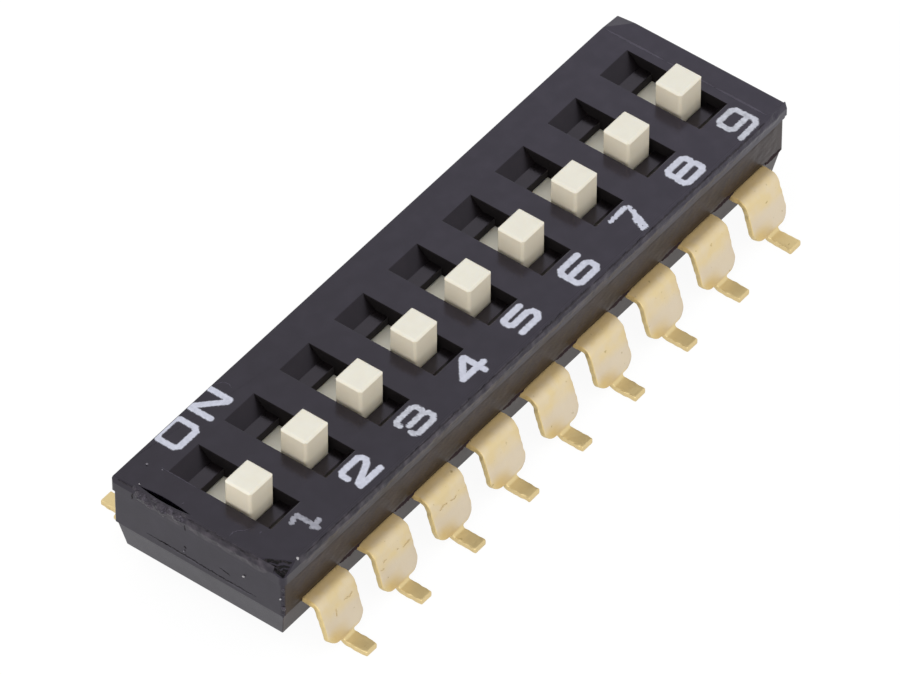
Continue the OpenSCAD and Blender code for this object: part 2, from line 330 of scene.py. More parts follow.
@dataclass(frozen=True)
class Clouded(Finish):
    """A surface of two tones in soft clouds, which may be drawn out one way or stand in relief.

    The clouds of dust and the streaks of rolled metal are too fine to show, so they are drawn as
    coarse as they have to be.
    """

    body: str
    tone: str
    cloud_mm: float
    roughness: float
    detail: float = 3.0
    metallic: float = 0.0
    specular: float = 0.5
    drawn: Place = (1.0, 1.0, 1.0)
    relief_mm: float = 0.0

    def sockets(self, tree: Tree, where: Output) -> dict[str, Feed]:
        """Clouds in the colour, and in the relief where it has one.

        Args:
            tree: The material's node tree.
            where: Coordinates in metres.

        Returns:
            What feeds each socket of the shader.
        """
        drawn = add_node(tree, "Mapping", {"Vector": where, "Scale": self.drawn})
        cloud = add_node(tree, "TexNoise", (drawn, per_mm(self.cloud_mm), self.detail))
        feeds = {
            "Base Color": add_node(tree, "Mix", (cloud, self.body, self.tone), data_type="RGBA"),
            "Roughness": self.roughness,
            "Metallic": self.metallic,
            "Specular IOR Level": self.specular,
        }
        if self.relief_mm:
            relief = {"Strength": 0.4, "Distance": self.relief_mm * MM, "Height": cloud}
            feeds["Normal"] = add_node(tree, "Bump", relief)
        return feeds


@dataclass(frozen=True)
class IvoryPolyamide(Finish):
    """Ivory polyamide, injection moulded: satin and a little translucent, with painted shade in tan
    on its sides.
    """

    name: str = "ivory_polyamide"
    body: str = "#e1dfd3"
    shade: str = "#dad5c6"
    # Painted shade: the tan that faces take as they turn from level
    tan: str = "#dccdb1"
    roughness: float = 0.38
    ior: float = 1.53
    flow_mm: float = 0.4
    # Width and depth of the mould's fine texture
    texture_mm: float = 0.12
    texture_depth_mm: float = 0.004
    # How level a face has to be to keep the upper colour and to take the full tan, and how much tan:
    # the tan is painted shade on the sides
    warm_sides: Place = (0.9, 0.3, 0.55)
    # How much light soaks in, how far, and how that differs by colour
    soak: float = 0.15
    soak_mm: float = 0.12
    soak_by_colour: Place = (1.0, 0.8, 0.5)

    def sockets(self, tree: Tree, where: Output) -> dict[str, Feed]:
        """Faint flow marks, painted shade in tan on the sides, a very fine relief and light that
        soaks in a little.

        Args:
            tree: The material's node tree.
            where: Coordinates in metres.

        Returns:
            What feeds each socket of the shader.
        """
        flow = add_node(tree, "TexNoise", (where, per_mm(self.flow_mm), 3.0))
        upper = add_node(tree, "Mix", (flow, self.body, self.shade), data_type="RGBA")
        facing = add_node(tree, "TexCoord").outputs["Normal"]
        level = add_node(tree, "SeparateXYZ", (facing,)).outputs["Z"]
        start, full, most = self.warm_sides
        side = add_node(tree, "MapRange", (level, start, full, 0.0, most))
        fine = add_node(tree, "TexNoise", (where, per_mm(self.texture_mm), 2.0))
        relief = {"Strength": 0.25, "Distance": self.texture_depth_mm * MM, "Height": fine}
        return {
            "Base Color": add_node(tree, "Mix", (side, upper, self.tan), data_type="RGBA"),
            "Normal": add_node(tree, "Bump", relief),
            "Roughness": self.roughness,
            "IOR": self.ior,
            "Subsurface Weight": self.soak,
            "Subsurface Radius": self.soak_by_colour,
            "Subsurface Scale": self.soak_mm * MM,
        }


@dataclass(frozen=True)
class MatteGold(Finish):
    """Matte gold plate over rolled copper alloy.

    It scatters light softly and so looks like pale cream metal. It is yellower at the cut edges
    and on the foot, greyer on the lower leg, and has a few nicks. A yellow at the heel's left half
    is a painted reflection, and a warmer tone by the wall is painted shade. The rolled grain is
    too fine to show, so it is drawn as coarse as it has to be.
    """

    name: str = "matte_gold_plate"
    pale: str = "#e1d1b1"
    warm: str = "#e2cfa3"
    lower: str = "#dccfba"
    # Yellow of the cut edges and the foot; at the heel's left half it paints a reflection
    edge: str = "#dfca95"
    # Painted shade: the warmer tone where the wall shades the plate
    root: str = "#dcc694"
    nick: str = "#a8935f"
    roughness: float = 0.5
    root_roughness: float = 0.85
    # Distance from the bank's middle line at which the rough plate by the wall starts and is full
    rough_from: float = 3.6
    rough_to: float = 3.3
    patch_mm: float = 0.45
    patch_depth_mm: float = 0.03
    grain_mm: float = 0.05
    grain_depth_mm: float = 0.006
    nick_mm: float = 0.2
    # Share of the noise at which the warm clouds and the nicks start and are full, and how strong
    # the nicks get
    warm_at: tuple[float, float] = (0.4, 0.62)
    nicked_at: Place = (0.69, 0.78, 0.8)
    # Where each tone starts and is full, and how strong it gets: by height, by place across the
    # strip and by distance from the bank's middle line. The heel's tone on the left half is a
    # painted reflection, and the tone by the wall is painted shade.
    lower_leg: Place = (1.25, 0.95, 0.85)
    heel: Place = (0.8, 0.5, 0.9)
    foot: Place = (0.36, 0.24, 0.9)
    left: Place = (0.15, -0.55, 1.0)
    cut_edge: Place = (0.765, 0.8, 1.0)
    by_wall: Place = (3.32, 3.12, 0.8)

    def sockets(self, tree: Tree, where: Output) -> dict[str, Feed]:
        """Cloudy tone under overlays, each laid over the last, with dents and a grain in the relief.

        A place across the strip is x wrapped to plus or minus half the pitch. The yellow is the
        largest of heel times left side, a painted reflection, foot, and cut edge. The tone by the
        wall is painted shade.

        Args:
            tree: The material's node tree.
            where: Coordinates in metres.

        Returns:
            What feeds each socket of the shader.
        """
        x, y, z = add_node(tree, "SeparateXYZ", (where,)).outputs
        half = PITCH / 2 * MM
        aside = add_node(tree, "Math", (x, half, -half), operation="WRAP")
        across = add_node(tree, "Math", (aside,), operation="ABSOLUTE")
        away = add_node(tree, "Math", (y,), operation="ABSOLUTE")
        lower, heel, foot, left, cut, root = [
            add_node(tree, "MapRange", (place, start * MM, full * MM, 0.0, most))
            for place, (start, full, most) in (
                (z, self.lower_leg),
                (z, self.heel),
                (z, self.foot),
                (aside, self.left),
                (across, self.cut_edge),
                (away, self.by_wall),
            )
        ]
        # Painted reflection: the heel yellows on its left half only
        heeled = add_node(tree, "Math", (left, heel), operation="MULTIPLY")
        low = add_node(tree, "Math", (heeled, foot), operation="MAXIMUM")
        yellowed = add_node(tree, "Math", (low, cut), operation="MAXIMUM")
        speck = add_node(tree, "TexNoise", (where, per_mm(self.nick_mm), 3.0))
        start, full, most = self.nicked_at
        nicked = add_node(tree, "MapRange", (speck, start, full, 0.0, most))
        patch = add_node(tree, "TexNoise", (where, per_mm(self.patch_mm), 4.0))
        cloud = add_node(tree, "MapRange", (patch, *self.warm_at))
        colour = add_node(tree, "Mix", (cloud, self.pale, self.warm), data_type="RGBA")
        # Painted shade: the overlay by the wall; painted reflection: the yellow at the heel
        overlays = ((lower, self.lower), (yellowed, self.edge), (root, self.root), (nicked, self.nick))
        for share, over in overlays:
            colour = add_node(tree, "Mix", (share, colour, over), data_type="RGBA")
        grain = add_node(tree, "TexNoise", (where, per_mm(self.grain_mm), 3.0))
        relief = {"Strength": 0.5, "Distance": self.grain_depth_mm * MM, "Height": grain}
        dents = {"Strength": 0.5, "Distance": self.patch_depth_mm * MM, "Height": patch}
        dents["Normal"] = add_node(tree, "Bump", relief)
        ends = (self.rough_from * MM, self.rough_to * MM, self.roughness, self.root_roughness)
        return {
            "Base Color": colour,
            "Roughness": add_node(tree, "MapRange", (away, *ends)),
            "Normal": add_node(tree, "Bump", dents),
            "Metallic": 1.0,
        }


# The mould polished its level faces and eroded its walls.
MOULDED = GlassFilledPbt(wall_roughness=0.3)
# Handling has dulled it and lightened it in small patches.
HANDLED = GlassFilledPbt(
    "handled_pbt", "#0b090c", "#383337", roughness=0.34, swell_mm=0.3, mottle_mm=0.3
)
# Rubbing has polished it paler. Along slot 1's edge and the far land's edge it is also a painted
# edge highlight.
BURNISHED_AND_HIGHLIGHT = GlassFilledPbt(
    "burnished_pbt", "#2a2730", "#3b3842", film="#2f2c36", filmed="#403d48", roughness=0.3
)
# Painted shade: the floors and slopes of the recesses stay near black and warm, with almost none
# of the greying towards switch 9, and the slopes' gloss is weaker, as shade falls in the recesses.
SHADED_RECESS = GlassFilledPbt(
    "recess_painted_shade_pbt", "#0a0707", "#141011", film="#0c090a", filmed="#161213", roughness=0.2
)
SHADED_SLOPE = GlassFilledPbt(
    "recess_slope_pbt",
    "#0a0707",
    "#141011",
    film="#0a0707",
    filmed="#141011",
    roughness=0.3,
    specular=0.33,
)
# The side under the numbers is duller, and its weaker, warm-tinted gloss paints the shade near
# the terminals and the reflection of their gold.
NUMBER_SIDE = GlassFilledPbt(
    "number_side_pbt",
    "#0d0809",
    "#1f1818",
    film="#0d0809",
    filmed="#1f1818",
    sheen="#ffdedb",
    roughness=0.34,
    specular=0.36,
)
TORN = TornPbt()
# Cuts and cracks are too deep and narrow for light to come back out: dull black, a little dusty.
CRACKED = Clouded("scored_pbt", "#0c0b0d", "#2c292c", 0.08, 0.8, specular=0.12)
# Painted shade where the parting lies in shade between the terminals, warm with their gold's painted
# reflection
PARTING_SHADE = Clouded("parting_shade", "#1c1214", "#33262a", 0.08, 0.8, specular=0.12)
# Painted shade: the walls inside the slots are dull and near black, and the ends of their windows
# dull and dark grey, as they lie in shade.
SHADED_SLOT_WALL = Clouded("slot_wall_pbt", "#0a0809", "#1c1819", 0.3, 0.8, specular=0.12)
SHADED_WINDOW_END = Clouded("window_end_pbt", "#2c292b", "#343133", 0.3, 0.8, specular=0.12)
# Painted shade under the rim's lip: a dull grey line, darker than the gloss round it.
SEAM_SHADE = Clouded("seam_shade_pbt", "#232024", "#403d42", 0.12, 0.8, specular=0.12)
# The bending die has dulled the gold plate in fine marks.
PLATE_MARK = Clouded("marked_plate", "#a8956d", "#d6c49e", 0.1, 0.8, specular=0.12)
# Lint and moulding dust: matte, broken white, and greyer where it is thin.
DUST = Clouded("pale_dust", "#b9b6b6", "#89868c", 0.04, 0.9, 2.0)
FAINT_DUST = Clouded("faint_dust", "#77747b", "#5f5c63", 0.04, 0.9, 2.0)
# White pad-printing ink: matte and dry, thin enough for the plastic to grey it in clouds. It is
# also worn by rubbing, nearly gone, or bled thinly round a character.
INK = Clouded("white_pad_print", "#d3d6e4", "#a3a5b4", 0.12, 0.6, 4.0, relief_mm=0.006)
RUBBED_INK = Clouded("rubbed_pad_print", "#dadde9", "#85868f", 0.12, 0.6, 4.0, relief_mm=0.006)
WORN_INK = Clouded("worn_pad_print", "#aeafbb", "#5e5e68", 0.12, 0.6, 4.0, relief_mm=0.006)
BLED_INK = Clouded("bled_pad_print", "#85868f", "#4c4b53", 0.12, 0.6, 4.0, relief_mm=0.006)
IVORY = IvoryPolyamide()
GOLD = MatteGold()
# Rolled phosphor bronze strip: bright metal with fine streaks along the rolling direction.
BRONZE = Clouded(
    "phosphor_bronze", "#c98f55", "#a9713f", 0.05, 0.3, 2.0, metallic=1.0, drawn=(1.0, 0.08, 1.0)
)


# ---- meshes ----


def switch_x(switch: int) -> float:
    """Centre of a switch along X, in millimetres."""
    return (switch - (SWITCHES[0] + SWITCHES[-1]) / 2) * PITCH


def box_mm(node: str) -> tuple[Array, Array]:
    """Lowest and highest corner of a construction node, in millimetres."""
    low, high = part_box(node)
    return np.array(low) / MM, np.array(high) / MM


def running(steps: Array) -> Array:
    """Running sum of steps, from zero."""
    return np.concatenate([[0.0], np.cumsum(steps)])


def inside(values: Array, low: float, high: float, over: float) -> Array:
    """Share that rises from 0 at both limits of a range to 1 at a distance inside them."""
    return np.clip(np.minimum(values - low, high - values) / over, 0, 1)


def wavering(along: Array, period: float, rng: np.random.Generator) -> Array:
    """A slow irregular waver, about -1 to 1: twice the mean of four sines of random phase.

    Args:
        along: Distances at which it is wanted.
        period: Period of the second sine, in the same unit.
        rng: Source of the phases.

    Returns:
        The waver at each distance.
    """
    phases = rng.uniform(0, 2 * math.pi, 4)
    rates = 2 * math.pi / period * np.array([0.43, 1.0, 1.73, 2.9])
    return np.sin(along[:, None] * rates + phases).mean(axis=1) * 2


def ripple(x: Array, y: Array, period: float, rng: np.random.Generator) -> Array:
    """Irregular relief over a plane, about -1 to 1: five sines of random heading and phase.

    Args:
        x: First place of each point.
        y: Second place of each point.
        period: Period of a middling sine, in the same unit.
        rng: Source of the headings, phases and rates.

    Returns:
        The relief at each point.
    """
    total = np.zeros_like(x)
    for _ in range(5):
        heading = rng.uniform(0, 2 * math.pi)
        phase = rng.uniform(0, 2 * math.pi)
        wave = 2 * math.pi * rng.uniform(0.7, 1.6) / period
        total += np.sin(wave * (x * math.cos(heading) + y * math.sin(heading)) + phase)
    return total / 2.5


def ripples(x: Array, y: Array, layers: Layers, rng: np.random.Generator) -> Array:
    """Relief over a plane from several layers of ripples."""
    return sum(tall * ripple(a * x, b * y, period, rng) for tall, period, a, b in layers)


def grid_quads(rows: int, columns: int, wrap: bool) -> Array:
    """Quads between neighbouring points of a grid that is stored row by row.

    Args:
        rows: Number of rows.
        columns: Number of points in a row.
        wrap: Whether the last column joins the first one.

    Returns:
        Corner indices, four to a face, turned so that rows by columns gives the outside.
    """
    index = np.arange(rows * columns).reshape(rows, columns)
    right = np.roll(index, -1, axis=1)
    if not wrap:
        index, right = index[:, :-1], right[:, :-1]
    faces = np.stack([index[:-1], right[:-1], right[1:], index[1:]], axis=-1)
    return faces.reshape(-1, 4)


def cap_quads(ring: Array) -> Array:
    """Quads that close a symmetric ring, each between a pair of points and the next pair.

    Args:
        ring: Indices round the ring, an even number of them.

    Returns:
        Corner indices, four to a face.
    """
    half = len(ring) // 2
    near, far = ring[:half], ring[::-1][:half]
    return np.stack([near[:-1], near[1:], far[1:], far[:-1]], axis=-1)


def add_object(
    name: str, mesh: bpy.types.Mesh, material: bpy.types.Material
) -> bpy.types.Object:
    """Puts a mesh into the scene, in one material.

    Args:
        name: Name of the object.
        mesh: Its mesh.
        material: The one material that it wears.

    Returns:
        The new object, at the origin.
    """
    mesh.materials.clear()
    mesh.materials.append(material)
    made = bpy.data.objects.new(name, mesh)
    bpy.context.scene.collection.objects.link(made)
    return made


def write_mesh(
    name: str,
    points: Array,
    faces: Array | list[Array],
    material: bpy.types.Material,
    smooth: bool = True,
) -> bpy.types.Object:
    """Writes points and faces into a new object.

    Args:
        name: Name of the object and its mesh.
        points: Positions in millimetres.
        faces: Corner indices of each face.
        material: The material that it wears.
        smooth: Whether faces are shaded smooth where they meet at a gentle angle.

    Returns:
        The new object.
    """
    mesh = bpy.data.meshes.new(name)
    mesh.from_pydata((np.asarray(points) * MM).tolist(), [], [list(map(int, f)) for f in faces])
    mesh.validate()
    made = add_object(name, mesh, material)
    if smooth:
        mesh.shade_smooth()
        mesh.set_sharp_from_angle(angle=math.radians(SMOOTH_UP_TO))
    return made


def dress(
    piece: bpy.types.Object, slot: Slot, *nodes: str, body: str = Body.HOUSING.value
) -> None:
    """Ties a piece to its body, and lets it stand for construction nodes.

    Args:
        piece: The finished piece.
        slot: The record's slot of its finish; not used.
        nodes: Construction nodes that it replaces.
        body: Name of the body that it rides on.
    """
    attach(piece, body)
    if nodes:
        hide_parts(*nodes)
    LOG.info("%s: %d faces on %s", piece.name, len(piece.data.polygons), body)


def closed_sheet(name: str, outer: Array, inner: Array, finish: Finish) -> None:
    """Adds a closed sheet from the grids of its two faces, joined round their edges.

    Args:
        name: Name of the piece.
        outer: Outer face in millimetres, by row and by column; rows by columns turns outwards.
        inner: Inner face, point for point behind the outer one.
        finish: The plastic that it wears.
    """
    rows, columns = outer.shape[:2]
    faces = grid_quads(rows, columns, wrap=False)
    index = np.arange(rows * columns).reshape(rows, columns)
    rim = np.concatenate([index[0], index[1:, -1], index[-1, -2::-1], index[-2:0:-1, 0]])
    ahead = np.roll(rim, -1)
    back = rows * columns
    sides = np.stack([rim, rim + back, ahead + back, ahead], axis=-1)
    faces = np.concatenate([faces, faces[:, ::-1] + back, sides])
    points = np.concatenate([outer.reshape(-1, 3), inner.reshape(-1, 3)])
    dress(write_mesh(name, points, faces, finish.material), Slot.PLASTIC)


def plate(
    x: Array, y: Array, keep: Array, heights: tuple[float, float]
) -> tuple[Array, Array]:
    """Turns the kept cells of a grid into a thin closed plate.

    A cell's top and bottom are kept, and a wall stands wherever a kept cell has no kept
    neighbour, so the shell is closed.

    Args:
        x: X of each grid point.
        y: Y of each grid point.
        keep: Which cells hold material, one fewer each way than the points.
        heights: Height of the underside and of the upper face.

    Returns:
        Positions, and the corner indices of each face.
    """
    count = x.size
    index = np.arange(count).reshape(x.shape)
    a, b, c, d = index[:-1, :-1], index[1:, :-1], index[1:, 1:], index[:-1, 1:]
    tops = np.stack([a, b, c, d], axis=-1)[keep]
    faces = [tops, tops[:, ::-1] + count]
    walls = ((0, -1, a, b), (1, 0, b, c), (0, 1, c, d), (-1, 0, d, a))
    for right, up, start, end in walls:
        neighbour = np.roll(np.pad(keep, 1), (-right, -up), axis=(0, 1))[1:-1, 1:-1]
        edge = keep & ~neighbour
        corners = [start[edge], start[edge] + count, end[edge] + count, end[edge]]
        faces.append(np.stack(corners, axis=-1))
    faces = np.concatenate(faces)
    low, high = heights
    layers = [np.stack([x, y, np.full(x.shape, z)], axis=-1) for z in (high, low)]
    used, renumbered = np.unique(faces, return_inverse=True)
    return np.concatenate(layers).reshape(-1, 3)[used], renumbered.reshape(faces.shape)


# ---- mouldings ----


@dataclass(frozen=True)
class Easing:
    """How a moulding's edges are eased: a bevel on the outer edges that can take it."""

    radius: float
    # An edge has to turn by more than this angle, and be longer than this
    sharp: float = 30.0
    shortest: float = 0.3
    # How many times wider than the bevel both its faces are
    room: float = 1.2
    # Vertices nearer than this, in metres, are one; faces that turn less than this are one
    weld: float = 1e-7
    flat: float = 0.3

    def copy(
        self,
        node: str,
        name: str,
        finish: Finish,
        mend: Callable[[bmesh.types.BMesh], None] | None = None,
    ) -> bpy.types.Object:
        """Copies a construction node, merges its loose triangles and eases its outer edges.

        Args:
            node: The construction node.
            name: Name of the copy.
            finish: The finish that the copy wears.
            mend: What is done to the welded mesh first.

        Returns:
            The copy, with a live Bevel modifier.
        """
        work = bmesh.new()
        work.from_mesh(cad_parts[node].data)
        bmesh.ops.remove_doubles(work, verts=work.verts, dist=self.weld)
        if mend:
            mend(work)
        angle = math.radians(self.flat)
        bmesh.ops.dissolve_limit(work, angle_limit=angle, verts=work.verts, edges=work.edges)
        weight = work.edges.layers.float.new("bevel_weight_edge")
        for edge in work.edges:
            turn = edge.calc_face_angle_signed(0.0)
            length = edge.calc_length()
            narrow = min((face.calc_area() / length for face in edge.link_faces), default=0.0)
            roomy = narrow > self.room * self.radius * MM
            if turn > math.radians(self.sharp) and length > self.shortest * MM and roomy:
                edge[weight] = 1.0
        mesh = bpy.data.meshes.new(name)
        work.to_mesh(mesh)
        work.free()
        mesh.shade_flat()
        made = add_object(name, mesh, finish.material)
        bevel = made.modifiers.new("eased_edges", "BEVEL")
        bevel.width = self.radius * MM
        bevel.segments = 3
        bevel.limit_method = "WEIGHT"
        bevel.use_clamp_overlap = False
        return made


@dataclass
class Housing:
    """The moulded cover and base."""

    easing: Easing = Easing(0.025)
    # Extent of the field of slots, between the sliders' flanges and the top
    field_x: float = 10.95
    field_y: float = 2.2
    field_z: tuple[float, float] = (2.94, 3.6)
    # The wall under the numbers lies past this y, below the rim
    wall_y: float = -2.8
    rim_z: float = 2.95
    # Shares of a face's direction above which it faces an axis, and leans to it
    facing: float = 0.9
    leaning: float = 0.5

    def level_land(self, work: bmesh.types.BMesh) -> None:
        """Levels the land at the switch 1 end with the slotted field, as wear has left it.

        Args:
            work: The cover's mesh, in metres.
        """
        near = [v for v in work.verts if v.co.x < LAND_X * MM]
        low = [v for v in near if abs(v.co.z - LAND_Z * MM) < 1e-6]
        bmesh.ops.translate(work, verts=low, vec=(0.0, 0.0, TOP * MM - LAND_Z * MM))
        bmesh.ops.remove_doubles(work, verts=work.verts, dist=self.easing.weld)
        bmesh.ops.dissolve_degenerate(work, edges=work.edges, dist=self.easing.weld)

    def finish_faces(self, piece: bpy.types.Object) -> None:
        """Gives the wall under the numbers, and each kind of face in the slots, its own finish.

        In the slots the side walls face along X, the windows' ends along Y, the slopes lean to Y
        and the recess floors are level. These finishes paint the shade in the slots, and the wall's
        paints shade and the gold's reflection near the terminals.

        Args:
            piece: The moulding, which keeps its first finish everywhere else.
        """
        faces = piece.data.polygons
        middle, normal = np.empty(3 * len(faces)), np.empty(3 * len(faces))
        faces.foreach_get("center", middle)
        faces.foreach_get("normal", normal)
        x, y, z = (middle.reshape(-1, 3) / MM).T
        nx, ny, nz = normal.reshape(-1, 3).T
        low, high = self.field_z
        slots = (abs(x) < self.field_x) & (abs(y) < self.field_y) & (z > low) & (z < high)
        slope = (abs(ny) > self.leaning) & (abs(ny) <= self.facing) & (nz > self.leaning)
        kinds = (
            (SHADED_SLOT_WALL, slots & (abs(nx) > self.facing)),
            (SHADED_WINDOW_END, slots & (abs(ny) > self.facing)),
            (SHADED_SLOPE, slots & slope),
            (SHADED_RECESS, slots & (nz > self.facing)),
            (NUMBER_SIDE, (ny < -self.facing) & (y < self.wall_y) & (z < self.rim_z)),
        )
        chosen = np.zeros(len(faces), dtype=np.int32)
        for finish, kind in kinds:
            if kind.any():
                piece.data.materials.append(finish.material)
                chosen[kind] = len(piece.data.materials) - 1
        faces.foreach_set("material_index", chosen)

    def build(self) -> None:
        """Makes the cover and the base from the construction's own solids."""
        for node, mend in (("cover", self.level_land), ("base", None)):
            piece = self.easing.copy(node, f"{node}_moulding", MOULDED, mend)
            self.finish_faces(piece)
            dress(piece, Slot.PLASTIC, node)


@dataclass
class SliderBank:
    """The nine actuators and the wipers that they carry."""

    easing: Easing = Easing(0.03)

    def build(self) -> None:
        """Makes each slider, and gives the wiper under it its finish."""
        for switch in SWITCHES:
            node = f"slider_{switch}"
            piece = self.easing.copy(node, f"slider_moulding_{switch}", IVORY)
            dress(piece, Slot.SLIDER, node, body=f"{Body.SWITCH.value}{switch}")
            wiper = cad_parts[f"wiper_{switch}"]
            wiper.data.materials.clear()
            wiper.data.materials.append(BRONZE.material)
            LOG.info("%s: the construction's own solid, in %s", wiper.name, BRONZE.name)


# ---- terminals ----


@dataclass(frozen=True)
class StripSizes:
    """Sizes of the stamped strip that every terminal is bent from."""

    thickness: float = 0.2
    edge_radius: float = 0.035
    wide: float = 1.62
    pad: float = 1.1
    foot: float = 0.5
    lean: float = 17.0
    shoulder_radius: float = 0.28
    heel_radius: float = 0.22
    # From the wall's face to the shoulder, that face's place, and the part held in the wall
    stub: float = 0.209
    wall: float = 3.075
    anchor: float = 0.3
    # The lobes at the leg's end, and the hollow that leads into the foot
    lobe_radius: float = 0.42
    lobe_drop: float = 0.02
    neck_radius: float = 0.1
    # How far the stamped edge and the faces waver, and over what length
    waver: float = 0.01
    dents: float = 0.005
    waver_length: float = 0.8

    @property
    def turn(self) -> float:
        """Angle of each bend."""
        return math.radians(90 - self.lean)


@dataclass
class Terminal:
    """One gull-wing terminal, a flat strip carried along its bent path."""

    switch: int
    row: Row
    sizes: StripSizes = field(default_factory=StripSizes)
    # Between sections, before and after a jump in the width, and the steps the path is summed in
    step: float = 0.03
    jumps: tuple[float, float] = (1e-4, 1e-3)
    samples: int = 4001

    @property
    def node(self) -> str:
        """Name of the construction node that this terminal replaces."""
        return f"{self.row.name.lower()}_terminal_{self.switch}"

    def lengths(self, reach: float, top: float) -> Array:
        """Length of the path up to each change of curve.

        Args:
            reach: How far the pad's inner end lies from the middle of the bank.
            top: Height of the strip's upper face.

        Returns:
            Path length at the end of the flat, the shoulder, the leg and the heel.
        """
        size = self.sizes
        flat = size.wall + size.stub - reach
        bends = (size.shoulder_radius + size.heel_radius) * (1 - math.cos(size.turn))
        leg = (top - size.thickness - bends) / math.sin(size.turn)
        return np.cumsum([flat, size.shoulder_radius * size.turn, leg, size.heel_radius * size.turn])

    def half_width(self, along: Array, ends: Array) -> Array:
        """Half the strip's width at each point of the path.

        The pad and the foot are narrow. The leg ends in two lobes, each a quarter circle: past the
        lobe's start the half width is what the circle leaves, sqrt(r^2 - (s - s0)^2) past its
        centre line. A hollow quarter circle then leads into the foot.

        Args:
            along: Path length of each point.
            ends: Path length at each change of curve.

        Returns:
            Half the width at each point.
        """
        size = self.sizes
        anchor = ends[0] - size.stub - size.anchor
        lobe_end = ends[2] + size.lobe_drop
        into = np.clip(along - lobe_end + size.lobe_radius, 0, size.lobe_radius)
        lobe = size.wide / 2 - size.lobe_radius + np.sqrt(size.lobe_radius**2 - into**2)
        width = np.where(along < anchor, size.pad / 2, lobe)
        past = np.clip(along - lobe_end, 0, size.neck_radius)
        neck = size.neck_radius - np.sqrt(size.neck_radius**2 - (size.neck_radius - past) ** 2)
        return np.where(along > lobe_end, size.foot / 2 + neck, width)

    def stations(self, ends: Array, total: float) -> Array:
        """Path lengths at which the strip gets a section, closest where it changes fast.

        Args:
            ends: Path length at each change of curve.
            total: Length of the whole path.

        Returns:
            The path lengths, in order.
        """
        size = self.sizes
        anchor = ends[0] - size.stub - size.anchor
        lobe_end = ends[2] + size.lobe_drop
        lobe = lobe_end - size.lobe_radius * (1 - np.sin(np.linspace(0, math.pi / 2, 14)))
        neck = lobe_end + size.neck_radius * (1 - np.cos(np.linspace(0, math.pi / 2, 7)))
        before, after = self.jumps
        jumps = [anchor - before, anchor, lobe_end, lobe_end + after]
        rim = np.array([0.0, 0.01, size.edge_radius])
        even = np.arange(2 * self.step, total - 0.05, self.step)
        return np.unique(np.concatenate([even, lobe, neck, jumps, rim, total - rim]))

    def build(self) -> None:
        """Adds the strip: at each station a rounded rectangle stands square to the path.

        The heading turns at a constant rate in each bend, so it is linear between the ends of the
        bends, and the path is the running sum of its direction.
        """
        size = self.sizes
        low, high = box_mm(self.node)
        side = self.row.value
        reach, toe = sorted((side * low[1], side * high[1]))
        ends = self.lengths(reach, high[2])
        fine = np.linspace(0, ends[-1], self.samples)
        heading = np.interp(fine, [0, *ends], [0, 0, size.turn, size.turn, 0])
        middle = (heading[1:] + heading[:-1]) / 2
        run = running(np.cos(middle) * np.diff(fine)) + reach
        fall = running(np.sin(middle) * np.diff(fine))
        total = ends[-1] + toe - run[-1]
        along = self.stations(ends, total)
        path = (
            np.interp(along, fine, run) + np.clip(along - ends[-1], 0, None),
            high[2] - size.thickness / 2 - np.interp(along, fine, fall),
            np.interp(along, fine, heading),
        )
        points = self.sections(along, path, self.half_width(along, ends), total)
        points[..., 1] *= side
        points[..., 0] += switch_x(self.switch)
        rows, columns = points.shape[:2]
        first = np.arange(columns)
        last = first + (rows - 1) * columns
        faces = [grid_quads(rows, columns, wrap=True), cap_quads(first)[:, ::-1], cap_quads(last)]
        faces = np.concatenate(faces)[:, ::side]
        name = f"terminal_strip_{self.row.name.lower()}_{self.switch}"
        made = write_mesh(name, points.reshape(-1, 3), faces, GOLD.material)
        dress(made, Slot.GOLD, self.node)

    def sections(
        self, along: Array, path: tuple[Array, Array, Array], half: Array, total: float
    ) -> Array:
        """Rounded rectangles along the path.

        Each point is a corner's centre plus the corner radius in its own direction. The corner
        radius shrinks towards the two cut ends, which rounds them off too.

        Args:
            along: Path length of each station.
            path: Distance from the bank's middle line, height and heading at each station.
            half: Half the width at each station.
            total: Length of the whole path.

        Returns:
            Positions, by station and by point round the section.
        """
        size = self.sizes
        quarter = np.linspace(0, math.pi / 2, 4)
        flats = np.linspace(1, -1, 9)[1:-1]
        ring = []
        for number, (sx, sn) in enumerate(((1, 1), (-1, 1), (-1, -1), (1, -1))):
            start = number * math.pi / 2
            ring += [(sx, sn, math.cos(start + q), math.sin(start + q)) for q in quarter]
            if sx == sn:
                ring += [(sx * f, sn, 0.0, sn) for f in flats]
        sx, sn, ax, an = np.array(ring).T
        radius = size.edge_radius
        inset = np.clip(radius - np.minimum(along, total - along), 0, None)
        shrink = radius - np.sqrt(np.clip(radius**2 - inset**2, 0, None))
        x = (half - radius - shrink)[:, None] * sx + radius * ax
        n = (size.thickness / 2 - radius - shrink)[:, None] * sn + radius * an
        rng = np.random.default_rng(100 * self.switch + self.row.value)
        x = x + size.waver * wavering(along, size.waver_length, rng)[:, None] * sx
        dents = ripple(x, along[:, None] + 0 * x, size.waver_length, rng)
        n = n + size.dents * dents * (along > size.wide)[:, None]
        across, height, angle = path
        y = across[:, None] + np.sin(angle)[:, None] * n
        z = height[:, None] + np.cos(angle)[:, None] * n
        return np.stack([x, y, np.maximum(z, 0.0)], axis=-1)


@dataclass
class TerminalRows:
    """The eighteen terminals."""

    sizes: StripSizes = field(default_factory=StripSizes)

    def build(self) -> None:
        """Makes both rows."""
        for row in Row:
            for switch in SWITCHES:
                Terminal(switch, row, self.sizes).build()


# ---- print ----

